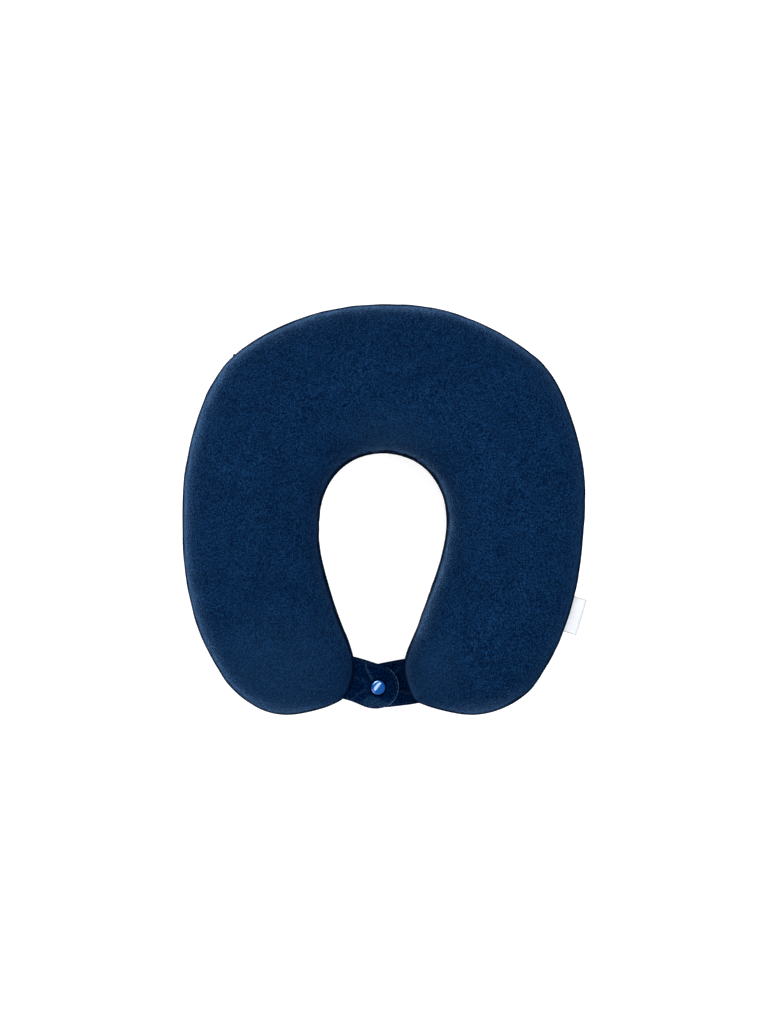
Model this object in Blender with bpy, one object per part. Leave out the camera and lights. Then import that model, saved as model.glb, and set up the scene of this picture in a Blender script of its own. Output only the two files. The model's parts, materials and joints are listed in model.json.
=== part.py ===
# U-shaped neck pillow: a foam core in a zipped velour cover, closed across the
# mouth by two snap-fastened tabs. The pillow lies on its underside at z = 0, +Z up,
# mouth towards -Y, and the sewn seam runs round it at mid height. Right is +X.
# Dimensions are in millimetres and degrees; meshes are built in metres.
import math
from collections import namedtuple

import bmesh
import bpy
import numpy as np
from mathutils import Vector

MM = 0.001
SHARP_ANGLE = math.radians(40.0)  # edges bent more than this are shaded sharp

# ---------------------------------------------------------------- main dimensions
# Centre line of the right half: (x, y, half width), from the middle of the back,
# round the shoulder, to the tip of the arm. A station is a position in this list,
# fractions allowed; negative stations on the back belong to the left half.
STATIONS = np.array((
    (0.0, 97.5, 56.0),
    (45.0, 89.5, 57.0),
    (77.0, 67.0, 57.0),
    (94.5, 33.0, 54.0),
    (99.0, -3.0, 51.5),
    (96.5, -40.5, 51.5),
    (86.5, -76.5, 52.0),
    (69.0, -118.0, 50.0),
    (67.0, -153.5, 64.0),
))
LAST = len(STATIONS) - 1
HINGE_STATION = 3.0  # the arm is cut from the back and flexes here
HINGE_OUT = 1.0  # hinge axis, outside the cover
CUT_GAP = 0.25  # half the gap between back and arm

END_LENGTH, END_POWER = 35.0, 1.6  # rounding of the arm's end, in plan
END_DROP, END_DROP_POWER = 46.0, 2.3  # rounding of the arm's end, in height

ARM_LEAN = 4.0  # the arms' ends sit up to this far towards -X
LEAN_START_Y = -20.0  # the lean grows from here towards -Y
LEAN_RUN = 95.0  # and is full after this length
LEAN_SPREAD = 140.0  # it fades away from x = 0 on this scale

SEAM_Z = 45.0  # height of the seam above the underside
TOP_RISE = 45.0  # seam to the top of the crown
PRESSED_DEPTH = 2.0  # part of the underside pressed flat
BOTTOM_DROP = SEAM_Z + PRESSED_DEPTH  # seam to the unpressed underside
SECTION_POWER = 2.5  # 2 is an ellipse; more is squarer

COVER = 1.2  # velour panel thickness
FOAM_INSET = 1.6  # foam skin below the cover's outside
SEAM_GAP = 0.2  # half the gap between the two panels' edges

SEAM_ARC_R = 186.0  # the back seam is a true arc, so that the slider can run
SEAM_ARC_Y = -32.5
ARC_CENTRE = (0.0, SEAM_ARC_Y, SEAM_Z)
ARC_END_DEG = 41.0  # the outer edge leaves the arc from here
ARC_BLEND_DEG = 8.0  # and is free of it after this angle
ZIP_HALF_DEG = 38.0  # the zip spans this much of the arc each way
ZIP_FADE_START_DEG = 1.0  # the slot closes from this far past the zip's end
ZIP_FADE_DEG = 3.0  # over this angle
ZIP_OPEN = 3.2  # half the slot between the panels at the zip
FOAM_ZIP_INSET = 6.6  # foam skin behind the slider

# ---------------------------------------------------------------- mesh lines
# Angles round half a cross section, from the outer seam (0) to the inner one (180).
SECTION_ANGLES = (
    0.0, 3.2, 9.4, 16.2, 32.0, 52.0, 73.0, 90.0, 107.0, 128.0, 148.0, 164.0, 180.0,
)
SLOT_LIMIT = 20.0  # the zip slot lifts panel points below this angle
# Section angle: share of the foam's groove depth behind the zip.
GROOVE_SHARE = {0.0: 1.0, 3.2: 0.95, 9.4: 0.5, 16.2: 0.1}

BACK_STEPS = 8  # middle of the back to each hinge cut
ARM_STEPS = 6  # hinge cut to the start of the arm's rounded end
ARM_END_START = 52.0  # distance from the tip
ARM_END_LINES = (40.0, 28.0, 18.0, 10.5, 5.0)  # distances from the tip
CENTRE_LINE_SAMPLES = 1601


# ---------------------------------------------------------------- materials
def material(name, colour, roughness, metallic=0.0, sheen=0.0):
    mat = bpy.data.materials.new(name)
    mat.use_nodes = True
    inputs = mat.node_tree.nodes["Principled BSDF"].inputs
    inputs["Base Color"].default_value = (*colour, 1.0)
    inputs["Roughness"].default_value = roughness
    inputs["Metallic"].default_value = metallic
    inputs["Sheen Weight"].default_value = sheen
    mat.diffuse_color = (*colour, 1.0)
    return mat


VELOUR = material("navy_velour", colour=(0.006, 0.022, 0.075), roughness=0.9, sheen=0.5)
TAB_VELOUR = material(
    "navy_tab_velour", colour=(0.003, 0.012, 0.045), roughness=0.85, sheen=0.3
)
FOAM = material("memory_foam", colour=(0.80, 0.76, 0.62), roughness=0.95)
TAPE = material("navy_zip_tape", colour=(0.005, 0.014, 0.04), roughness=0.8)
COIL = material("navy_zip_coil", colour=(0.006, 0.016, 0.045), roughness=0.4)
METAL = material(
    "dark_slider_metal", colour=(0.03, 0.035, 0.05), roughness=0.35, metallic=0.9
)
SNAP_BLUE = material("blue_snap_enamel", colour=(0.0, 0.08, 0.45), roughness=0.15)
SNAP_METAL = material("snap_nickel", colour=(0.55, 0.56, 0.58), roughness=0.3, metallic=1.0)
LABEL_WHITE = material("white_woven_label", colour=(0.85, 0.86, 0.88), roughness=0.8)


# ---------------------------------------------------------------- mesh helpers
def shade(mesh):
    mesh.shade_smooth()
    mesh.set_sharp_from_angle(angle=SHARP_ANGLE)


def build(name, verts, faces, mat, origin=(0.0, 0.0, 0.0)):
    """A mesh object from world points in millimetres, with its origin at origin."""
    location = Vector(origin) * MM
    mesh = bpy.data.meshes.new(name)
    mesh.from_pydata([tuple(Vector(v) * MM - location) for v in verts], [], faces)
    bm = bmesh.new()
    bm.from_mesh(mesh)
    bmesh.ops.recalc_face_normals(bm, faces=bm.faces)
    if bm.calc_volume(signed=True) < 0:
        bmesh.ops.reverse_faces(bm, faces=bm.faces)
    bm.to_mesh(mesh)
    bm.free()
    mesh.materials.append(mat)
    shade(mesh)
    obj = bpy.data.objects.new(name, mesh)
    obj.location = location
    bpy.context.scene.collection.objects.link(obj)
    return obj


def ring_solid(name, rings, mat, origin=(0.0, 0.0, 0.0), tip=None, turn_at=None):
    """Closed rings of points joined in order; the last ring is capped or drawn to a tip.

    turn_at splits each cell into triangles, the other way from that point of the ring on.
    """
    size = len(rings[0])
    verts = [p for ring in rings for p in ring]
    faces = []
    for i in range(len(rings) - 1):
        for j in range(size):
            k = (j + 1) % size
            a, b = i * size + j, i * size + k
            c, d = b + size, a + size
            if turn_at is None:
                faces.append((a, b, c, d))
            elif j < turn_at:
                faces += [(a, b, c), (a, c, d)]
            else:
                faces += [(a, b, d), (b, c, d)]
    faces.append(tuple(range(size - 1, -1, -1)))
    last = (len(rings) - 1) * size
    if tip is None:
        faces.append(tuple(last + j for j in range(size)))
    else:
        verts.append(tip)
        faces += [(last + j, last + (j + 1) % size, len(verts) - 1) for j in range(size)]
    return build(name, verts, faces, mat, origin)


def panel(name, outer, inner, tips=None):
    """A fabric panel: an outer and an inner grid of points joined round their edge.

    tips holds the outer and the inner point that the last rows are drawn to, if any.
    """
    rows, size = len(outer), len(outer[0])
    verts = [p for row in outer for p in row] + [p for row in inner for p in row]
    base = rows * size
    last = base - size
    faces = []
    for i in range(rows - 1):
        for j in range(size - 1):
            a, b = i * size + j, i * size + j + 1
            c, d = b + size, a + size
            faces += [(a, b, c), (a, c, d)]
            faces += [(base + c, base + b, base + a), (base + d, base + c, base + a)]
    for j in range(size - 1):
        faces.append((j, base + j, base + j + 1, j + 1))
    for i in range(rows - 1):
        a, d = i * size, (i + 1) * size
        faces.append((a, d, base + d, base + a))
        a, d = a + size - 1, d + size - 1
        faces.append((a, base + a, base + d, d))
    if tips is None:
        for j in range(last, last + size - 1):
            faces.append((j, j + 1, base + j + 1, base + j))
    else:
        verts += tips
        tip_out, tip_in = 2 * base, 2 * base + 1
        for j in range(last, last + size - 1):
            faces.append((j, j + 1, tip_out))
            faces.append((base + j + 1, base + j, tip_in))
        faces.append((last, tip_out, tip_in, base + last))
        faces.append((last + size - 1, base + last + size - 1, tip_in, tip_out))
    return build(name, verts, faces, VELOUR)


def combine(target, others, operation):
    """Boolean of the others with target, in order; the others are removed."""
    for other in others:
        mod = target.modifiers.new("boolean", "BOOLEAN")
        mod.operation = operation
        mod.object = other
        mod.solver = "EXACT"
    depsgraph = bpy.context.evaluated_depsgraph_get()
    bpy.context.view_layer.update()
    mesh = bpy.data.meshes.new_from_object(target.evaluated_get(depsgraph))
    mat = target.data.materials[0]
    target.modifiers.clear()
    target.data = mesh
    mesh.materials.clear()
    mesh.materials.append(mat)
    shade(mesh)
    for other in others:
        bpy.data.objects.remove(other, do_unlink=True)
    return target


def circle(centre_x, centre_y, radius, segments):
    turns = [2 * math.pi * k / segments for k in range(segments)]
    return [(centre_x + radius * math.cos(a), centre_y + radius * math.sin(a)) for a in turns]


axis_places = {}  # world place of each empty, in millimetres


def hang(obj, parent):
    """Parents obj to an unrotated empty, keeping its place."""
    obj.parent = parent
    obj.location = obj.location - Vector(axis_places[parent.name]) * MM


def add_axis(name, place, parent=None):
    """An empty that marks where the pieces hung on it turn."""
    axis = bpy.data.objects.new(name, None)
    axis.location = Vector(place) * MM
    axis.empty_display_size = 0.02
    bpy.context.scene.collection.objects.link(axis)
    if parent is not None:
        hang(axis, parent)
    axis_places[name] = place
    return axis


# ---------------------------------------------------------------- pillow shape
def smooth01(v):
    v = min(1.0, max(0.0, v))
    return v * v * (3.0 - 2.0 * v)


def signed_power(v, power):
    return math.copysign(abs(v) ** power, v)


def station_row(i):
    """Row i of STATIONS, mirrored before the first and extrapolated past the last."""
    if i < 0:
        return STATIONS[-i] * np.array([-1.0, 1.0, 1.0])
    if i > LAST:
        return 2.0 * STATIONS[LAST] - STATIONS[2 * LAST - i]
    return STATIONS[i]


def centre_line(station):
    """Catmull-Rom through the stations: point, half width, unit heading."""
    i = min(int(station), LAST - 1)
    f = station - i
    p0, p1, p2, p3 = (station_row(k) for k in range(i - 1, i + 3))
    cubic = -0.5 * p0 + 1.5 * p1 - 1.5 * p2 + 0.5 * p3
    square = p0 - 2.5 * p1 + 2.0 * p2 - 0.5 * p3
    slope = 0.5 * (p2 - p0)
    p = ((cubic * f + square) * f + slope) * f + p1
    heading = ((3.0 * cubic * f + 2.0 * square) * f + slope)[:2]
    return p[:2], p[2], heading / np.hypot(*heading)


# Distance run along the centre line at closely spaced stations.
SAMPLES = np.linspace(0.0, LAST, CENTRE_LINE_SAMPLES)
SAMPLE_POINTS = np.array([centre_line(s)[0] for s in SAMPLES])
SAMPLE_RUN = np.concatenate([[0.0], np.cumsum(np.hypot(*np.diff(SAMPLE_POINTS, axis=0).T))])
ARM_TIP_RUN = float(SAMPLE_RUN[-1])


def station_at(tip_distance):
    return float(np.interp(ARM_TIP_RUN - tip_distance, SAMPLE_RUN, SAMPLES))


def end_share(station, length, power):
    """Share of the full size at a station: 1 until length from the tip, 0 at the tip."""
    tip_distance = ARM_TIP_RUN - float(np.interp(station, SAMPLES, SAMPLE_RUN))
    if tip_distance >= length:
        return 1.0
    return (1.0 - (1.0 - max(tip_distance, 0.0) / length) ** power) ** (1.0 / power)


def rails(station):
    """Outer and inner edge of the right half's plan before the lean, and the angle of
    the outer edge about the seam arc's centre."""
    centre, half_width, heading = centre_line(station)
    out = np.array([-heading[1], heading[0]])
    share = end_share(station, END_LENGTH, END_POWER)
    outer = centre + out * half_width * share
    inner = centre - out * half_width * share
    spoke = outer - np.array([0.0, SEAM_ARC_Y])
    radius = math.hypot(*spoke)
    arc_deg = math.degrees(math.atan2(spoke[0], spoke[1]))
    on_arc = 1.0 - smooth01((arc_deg - ARC_END_DEG) / ARC_BLEND_DEG)
    outer = outer + spoke / radius * (SEAM_ARC_R - radius) * on_arc
    return outer, inner, arc_deg


def outward(station):
    """Unit direction from the right half's inner edge to its outer edge."""
    outer, inner, _ = rails(station)
    return (outer - inner) / np.hypot(*(outer - inner))


def place(side, point):
    """A plan point of the right half put on side +1 (right) or -1 (left) and leaned."""
    x, y = side * point[0], point[1]
    grown = smooth01((LEAN_START_Y - y) / LEAN_RUN)
    return x - ARM_LEAN * grown * math.exp(-((x / LEAN_SPREAD) ** 2)), y


def skin(station, angle, side, top, inset, slot=0.0):
    """A point of the pillow's skin, sunk by inset; slot lifts it away from the seam."""
    outer, inner, _ = rails(station)
    middle = (outer + inner) / 2.0
    half_width = math.hypot(*((outer - inner) / 2.0))
    turn = math.radians(angle)
    across = signed_power(math.cos(turn), 2.0 / SECTION_POWER)
    upright = abs(math.sin(turn)) ** (2.0 / SECTION_POWER)
    x, y = place(side, middle + outward(station) * (half_width - inset) * across)
    share = end_share(station, END_DROP, END_DROP_POWER)
    if top:
        z = max(SEAM_Z + (TOP_RISE * share - inset) * upright, SEAM_Z + slot)
    else:
        z = SEAM_Z - (BOTTOM_DROP * share - inset) * upright
        z = min(max(z, inset), SEAM_Z - slot)
    return (x, y, z)


def zip_zone(station):
    """1 inside the zip's arc, falling to 0 just past its ends."""
    past_end = rails(station)[2] - ZIP_HALF_DEG
    return 1.0 - smooth01((past_end - ZIP_FADE_START_DEG) / ZIP_FADE_DEG)


def panel_line(station, side, top, inset):
    """One cross line of a cover panel, from the outer seam to the inner one."""
    zip_slot = SEAM_GAP + (ZIP_OPEN - SEAM_GAP) * zip_zone(station)
    return [
        skin(station, angle, side, top, inset, zip_slot if angle < SLOT_LIMIT else SEAM_GAP)
        for angle in SECTION_ANGLES
    ]


def foam_line(station, side):
    """The foam's cross line: over the top from the outer edge, back along the underside."""
    out = outward(station)
    groove_depth = (FOAM_ZIP_INSET - FOAM_INSET) * zip_zone(station)
    halves = []
    for top in (True, False):
        half = []
        for angle in SECTION_ANGLES:
            sink = groove_depth * GROOVE_SHARE.get(angle, 0.0)
            x, y, z = skin(station, angle, side, top, FOAM_INSET)
            half.append((x - side * out[0] * sink, y - out[1] * sink, z))
        halves.append(half)
    upper, under = halves
    return upper + under[-2:0:-1]


BACK_LINES = [HINGE_STATION * k / BACK_STEPS for k in range(-BACK_STEPS, BACK_STEPS + 1)]
ARM_LINES = [
    HINGE_STATION + (station_at(ARM_END_START) - HINGE_STATION) * k / ARM_STEPS
    for k in range(ARM_STEPS + 1)
]
ARM_LINES += [station_at(distance) for distance in ARM_END_LINES]


def off_cut(row, side, distance):
    """Moves a row at the hinge cut along the arm, towards its tip if distance > 0."""
    heading = centre_line(HINGE_STATION)[2]
    dx, dy = side * heading[0] * distance, heading[1] * distance
    return [(x + dx, y + dy, z) for x, y, z in row]


def back_rows(cross_line, *args):
    """Cross lines of the back, from the left hinge cut to the right one."""
    rows = [cross_line(abs(s), 1 if s >= 0 else -1, *args) for s in BACK_LINES]
    rows[0] = off_cut(rows[0], -1, -CUT_GAP)
    rows[-1] = off_cut(rows[-1], 1, -CUT_GAP)
    return rows


def arm_rows(side, cross_line, *args):
    """Cross lines of an arm, from its hinge cut towards its tip."""
    rows = [cross_line(s, side, *args) for s in ARM_LINES]
    rows[0] = off_cut(rows[0], side, CUT_GAP)
    return rows


def arm_tip(side, inset, z):
    return (*place(side, centre_line(station_at(inset))[0]), z)


# ---------------------------------------------------------------- foam, cover and hinges
def add_arm_axis(name, side):
    point = rails(HINGE_STATION)[0] + outward(HINGE_STATION) * HINGE_OUT
    return add_axis(name, (side * point[0], point[1], SEAM_Z))


def add_foam(arms):
    turn_at = len(SECTION_ANGLES) - 1  # the underside mirrors the top's triangles
    ring_solid("foam_core_back", back_rows(foam_line), FOAM, turn_at=turn_at)
    for side, hand, axis in arms:
        rings = arm_rows(side, foam_line)
        tip = arm_tip(side, FOAM_INSET, SEAM_Z)
        hang(ring_solid(f"foam_core_{hand}", rings, FOAM, tip=tip, turn_at=turn_at), axis)


def add_cover(arms):
    for top, word in ((True, "top"), (False, "bottom")):
        outer, inner = (back_rows(panel_line, top, inset) for inset in (0.0, COVER))
        panel(f"cover_{word}_back", outer, inner)
        tip_z = SEAM_Z + (SEAM_GAP if top else -SEAM_GAP)
        for side, hand, axis in arms:
            outer, inner = (arm_rows(side, panel_line, top, inset) for inset in (0.0, COVER))
            tips = [arm_tip(side, inset, tip_z) for inset in (0.0, COVER)]
            hang(panel(f"cover_{word}_{hand}", outer, inner, tips), axis)


# ---------------------------------------------------------------- zip in the back seam
ZIP_STEPS = 26
# Sections of the upper strips: (depth inwards from the seam arc, height above the seam).
# The tape runs from behind the coil to the panel it is sewn to.
TAPE_SECTION = ((4.3, 0.8), (4.8, 0.8), (4.8, 3.4), (3.2, 9.2), (2.7, 9.2), (4.3, 3.2))
COIL_SECTION = (
    (2.9, 1.1), (2.75, 1.5), (2.9, 2.2), (3.5, 2.5), (3.95, 2.2), (3.95, 1.0), (3.5, 0.7),
)


def arc_point(depth, rise, arc_deg):
    """A point by its depth inside the seam arc; arc_deg is 0 at the middle of the back."""
    radius = SEAM_ARC_R - depth
    a = math.radians(arc_deg)
    return (radius * math.sin(a), SEAM_ARC_Y + radius * math.cos(a), SEAM_Z + rise)


def add_zip_strip(name, section, sign, mat):
    """A section swept along the zip; sign is +1 above the seam and -1 below it."""
    rings = []
    for k in range(ZIP_STEPS + 1):
        arc_deg = -ZIP_HALF_DEG + 2.0 * ZIP_HALF_DEG * k / ZIP_STEPS
        rings.append([arc_point(depth, sign * rise, arc_deg) for depth, rise in section])
    ring_solid(name, rings, mat)


def add_zip_strips():
    for sign, word in ((1.0, "upper"), (-1.0, "lower")):
        add_zip_strip(f"zip_tape_{word}", TAPE_SECTION, sign, TAPE)
        add_zip_strip(f"zip_coil_{word}", COIL_SECTION, sign, COIL)


# ---------------------------------------------------------------- slider and pull
# The slider's frame lies on the seam arc: along runs clockwise from above, depth inwards,
# rise upwards from the seam.
SLIDER_DEG = -36.4
SLIDER_HALF_HEIGHT = 2.8
PLATE_START, PLATE_END, PLATE_CORNER = -4.0, 4.0, 0.9
FRONT_DEPTHS = (1.5, 2.35)  # plate outside the coil
REAR_DEPTHS = (5.2, 5.9)  # plate behind the coil
POST_START, POST_END, POST_CORNER = -3.4, -2.0, 0.1
POST_DEPTHS = (2.0, 5.5)
POST_HALF_HEIGHT = 0.35
# Outline of a lug that holds the pull's pin: (along, depth).
LUG_OUTLINE = ((-2.6, 1.9), (-0.6, 1.9), (-0.9, -0.4), (-1.3, -0.8), (-1.9, -0.8), (-2.3, -0.4))
LUG_RISES = (1.95, 2.6)
PIN_ALONG, PIN_DEPTH = -1.6, 0.1
PIN_R, PIN_HALF_HEIGHT, PIN_SEGMENTS = 0.45, 2.3, 12

PULL_LENGTH = 13.0
EYE_R, EYE_HALF_HEIGHT = 1.3, 1.5
BORE_R, BORE_HALF_HEIGHT = 0.8, 3.0
EYE_SEGMENTS = 16
BLADE_HALF_THICKNESS = 0.35
# Upper edge of the pull's blade, far end first: (along from the pin, rise).
BLADE_EDGE = (
    (PULL_LENGTH - 1.6, 0.8), (PULL_LENGTH - 2.2, 1.4), (PULL_LENGTH - 3.4, 1.5), (0.8, 1.2),
)


def slider_point(along, depth, rise):
    a = math.radians(SLIDER_DEG)
    origin = Vector(arc_point(0.0, 0.0, SLIDER_DEG))
    tangent = Vector((math.cos(a), -math.sin(a), 0.0))
    out = Vector((math.sin(a), math.cos(a), 0.0))
    return tuple(origin + tangent * along - out * depth + Vector((0.0, 0.0, rise)))


def depth_prism(name, outline, depths, origin):
    """An (along, rise) outline run between two depths."""
    rings = [[slider_point(along, d, rise) for along, rise in outline] for d in depths]
    return ring_solid(name, rings, METAL, origin)


def upright_prism(name, outline, rises, origin):
    """An (along, depth) outline run between two heights."""
    rings = [[slider_point(along, depth, r) for along, depth in outline] for r in rises]
    return ring_solid(name, rings, METAL, origin)


def pin_cylinder(name, radius, half_height, segments, origin):
    outline = circle(PIN_ALONG, PIN_DEPTH, radius, segments)
    return upright_prism(name, outline, (-half_height, half_height), origin)


def cut_corner_outline(start, end, half_height, corner):
    return [
        (start + corner, -half_height), (end - corner, -half_height),
        (end, -half_height + corner), (end, half_height - corner),
        (end - corner, half_height), (start + corner, half_height),
        (start, half_height - corner), (start, -half_height + corner),
    ]


def add_slider():
    """The slider, turning about the seam arc's centre; returns its axis."""
    axis = add_axis("zip_run_axis", ARC_CENTRE)
    plate = cut_corner_outline(PLATE_START, PLATE_END, SLIDER_HALF_HEIGHT, PLATE_CORNER)
    post = cut_corner_outline(POST_START, POST_END, POST_HALF_HEIGHT, POST_CORNER)
    slider = depth_prism("zip_slider", plate, FRONT_DEPTHS, ARC_CENTRE)
    parts = [
        depth_prism("slider_back", plate, REAR_DEPTHS, ARC_CENTRE),
        depth_prism("slider_post", post, POST_DEPTHS, ARC_CENTRE),
    ]
    for sign in (-1.0, 1.0):
        rises = [sign * rise for rise in LUG_RISES]
        parts.append(upright_prism("lug", LUG_OUTLINE, rises, ARC_CENTRE))
    parts.append(pin_cylinder("pin", PIN_R, PIN_HALF_HEIGHT, PIN_SEGMENTS, ARC_CENTRE))
    hang(combine(slider, parts, "UNION"), axis)
    return axis


def add_pull(slider_axis):
    """The pull: a bored eye round the slider's pin, with a flat blade."""
    origin = slider_point(PIN_ALONG, PIN_DEPTH, 0.0)
    axis = add_axis("zip_pull_axis", origin, slider_axis)
    eye = pin_cylinder("zip_pull", EYE_R, EYE_HALF_HEIGHT, EYE_SEGMENTS, origin)
    edges = [(along, -rise) for along, rise in reversed(BLADE_EDGE)] + list(BLADE_EDGE)
    outline = [(PIN_ALONG + along, rise) for along, rise in edges]
    depths = (PIN_DEPTH - BLADE_HALF_THICKNESS, PIN_DEPTH + BLADE_HALF_THICKNESS)
    blade = depth_prism("blade", outline, depths, origin)
    bore = pin_cylinder("bore", BORE_R, BORE_HALF_HEIGHT, EYE_SEGMENTS, origin)
    pull = combine(combine(eye, [blade], "UNION"), [bore], "DIFFERENCE")
    hang(pull, axis)


# ---------------------------------------------------------------- tabs across the mouth
SNAP_X, SNAP_Y = -4.0, -132.3
TAB_HALF_WIDTH = 16.6
TAB_FACE_GAP = 2.65  # seam height to each tab's inner face
PLY = 1.2
PLY_GAP = 0.3
TAB_THICKNESS = 2 * PLY + PLY_GAP
TAB_ROOT_GAP = 0.5  # root edge to the arm
TAB_HOLE_R, TAB_HOLE_SEGMENTS = 1.7, 16
HOLE_OVERRUN = 1.0  # the hole's cutter passes each face by this much
ROOT_STEPS = 8
ROOT_SEARCH = 45.0  # the search for the arm's edge starts this far behind the snap
TIP_STEPS = 12
TIP_POWER = 2.3
TIP_START = -1.0  # the rounded tip begins here, along from the snap
OUTLINE_STEPS = 240

# side: the arm it grows from; heading: degrees from +X; tip: snap centre to the tab's tip;
# sign: +1 above the seam, -1 below it.
Tab = namedtuple("Tab", "word side heading tip sign")
UPPER_TAB = Tab("upper", side=-1, heading=-14.0, tip=16.0, sign=1.0)
LOWER_TAB = Tab("lower", side=1, heading=191.5, tip=13.0, sign=-1.0)


def plan_outline(side):
    """Plan outline of one half: out along the outer edge and back along the inner one."""
    edges = [rails(LAST * k / OUTLINE_STEPS) for k in range(OUTLINE_STEPS + 1)]
    points = [outer for outer, _, _ in edges] + [inner for _, inner, _ in reversed(edges)]
    return [place(side, p) for p in points]


def last_crossing(outline, start, direction):
    """How far along direction from start the last crossing of the outline lies."""
    dx, dy = direction
    crossings = []
    for (x0, y0), (x1, y1) in zip(outline, outline[1:]):
        edge_x, edge_y = x1 - x0, y1 - y0
        det = dy * edge_x - dx * edge_y
        if abs(det) < 1e-12:
            continue
        from_x, from_y = x0 - start[0], y0 - start[1]
        share = (dx * from_y - dy * from_x) / det
        if -1e-9 <= share <= 1.0 + 1e-9:
            crossings.append((from_y * edge_x - from_x * edge_y) / det)
    return max(crossings)


def tab_point(tab, along, across):
    """Plan point from distances along and across the tab, measured from the snap."""
    a = math.radians(tab.heading)
    dx, dy = math.cos(a), math.sin(a)
    return (SNAP_X + dx * along - dy * across, SNAP_Y + dy * along + dx * across)


def tab_root(tab):
    """(along, across) of the root edge, which follows the arm."""
    a = math.radians(tab.heading)
    direction = (math.cos(a), math.sin(a))
    outline = plan_outline(tab.side)
    root = []
    for k in range(ROOT_STEPS + 1):
        across = -TAB_HALF_WIDTH + 2.0 * TAB_HALF_WIDTH * k / ROOT_STEPS
        start = tab_point(tab, -ROOT_SEARCH, across)
        reach = last_crossing(outline, start, direction)
        root.append((reach - ROOT_SEARCH + TAB_ROOT_GAP, across))
    return root


def tab_tip(tab):
    """(along, across) of the rounded tip."""
    tip = []
    for k in range(1, TIP_STEPS):
        a = math.radians(90.0 - 180.0 * k / TIP_STEPS)
        along = signed_power(math.cos(a), 2.0 / TIP_POWER)
        across = signed_power(math.sin(a), 2.0 / TIP_POWER)
        tip.append((TIP_START + (tab.tip - TIP_START) * along, TAB_HALF_WIDTH * across))
    return tip


def add_tab(tab, arm_axis):
    """A tab of two plies, holed for the snap; returns its axis and the axis's place."""
    root = tab_root(tab)
    root_along = max(along for along, _ in root)
    middle_z = SEAM_Z + tab.sign * (TAB_FACE_GAP + TAB_THICKNESS / 2.0)
    origin = (*tab_point(tab, root_along, 0.0), middle_z)
    axis = add_axis(f"{tab.word}_tab_axis", origin, arm_axis)
    plan = [tab_point(tab, along, across) for along, across in root + tab_tip(tab)]
    hole = circle(SNAP_X, SNAP_Y, TAB_HOLE_R, TAB_HOLE_SEGMENTS)
    for ply_name, start in (("lining", 0.0), ("face", PLY + PLY_GAP)):
        z0 = SEAM_Z + tab.sign * (TAB_FACE_GAP + start)
        z1 = z0 + tab.sign * PLY
        rings = [[(x, y, z) for x, y in plan] for z in (z0, z1)]
        ply = ring_solid(f"tab_{tab.word}_{ply_name}", rings, TAB_VELOUR, origin)
        cut_heights = (min(z0, z1) - HOLE_OVERRUN, max(z0, z1) + HOLE_OVERRUN)
        rings = [[(x, y, z) for x, y in hole] for z in cut_heights]
        cutter = ring_solid("hole", rings, TAB_VELOUR, origin)
        hang(combine(ply, [cutter], "DIFFERENCE"), axis)
    return axis, origin


# ---------------------------------------------------------------- press snap
SNAP_SEGMENTS = 24
CAP_R = 5.3
CAP_LIFT = 0.3  # cap's and rivet's heads above the tab's outside
CAP_RIM = 0.6  # top of the cap's rim above the tab's outside
CAP_DOME = 1.5  # height of the dome above the rim
CAP_STEPS = 5
CAP_POWER = 0.8
RIVET_R = CAP_R - 0.5
SHANK_R = 1.3
SHANK_REACH = TAB_THICKNESS - 0.4  # tab's outside to the shank's end
SOCKET_BORE, SOCKET_R = 2.4, 4.8
SOCKET_INSET = 0.3  # socket's top below the upper tab's inner face

# Turned profiles, (radius, z), from one end of the snap's axis to the other. The cap and
# the rivet are measured from their tab's outside, the socket from its top and the stud
# from the lower tab's inner face.
CAP_PROFILE = (
    (0.0, -SHANK_REACH), (SHANK_R, -SHANK_REACH), (SHANK_R, CAP_LIFT),
    (CAP_R - 0.3, CAP_LIFT), (CAP_R, CAP_RIM),
    *(
        (CAP_R * math.cos(a) ** CAP_POWER, CAP_RIM + CAP_DOME * math.sin(a))
        for a in (math.radians(90.0 * k / CAP_STEPS) for k in range(1, CAP_STEPS))
    ),
    (0.0, CAP_RIM + CAP_DOME),
)
SOCKET_PROFILE = (
    (0.0, -0.2), (SOCKET_BORE, -0.2), (SOCKET_BORE, -2.0), (SOCKET_R - 0.6, -2.0),
    (SOCKET_R, -1.5), (SOCKET_R, -0.3), (SOCKET_R - 0.3, 0.0), (0.0, 0.0),
)
STUD_PROFILE = (
    (0.0, 0.3), (4.3, 0.3), (4.6, 0.5), (4.3, 0.75), (1.8, 0.75),
    (1.45, 1.3), (1.45, 1.9), (1.7, 2.3), (1.5, 2.65), (0.0, 2.7),
)
RIVET_PROFILE = (
    (0.0, -1.3), (3.6, -1.2), (RIVET_R, -0.8), (RIVET_R, -CAP_LIFT),
    (SHANK_R, -CAP_LIFT), (SHANK_R, SHANK_REACH), (0.0, SHANK_REACH),
)


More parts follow.
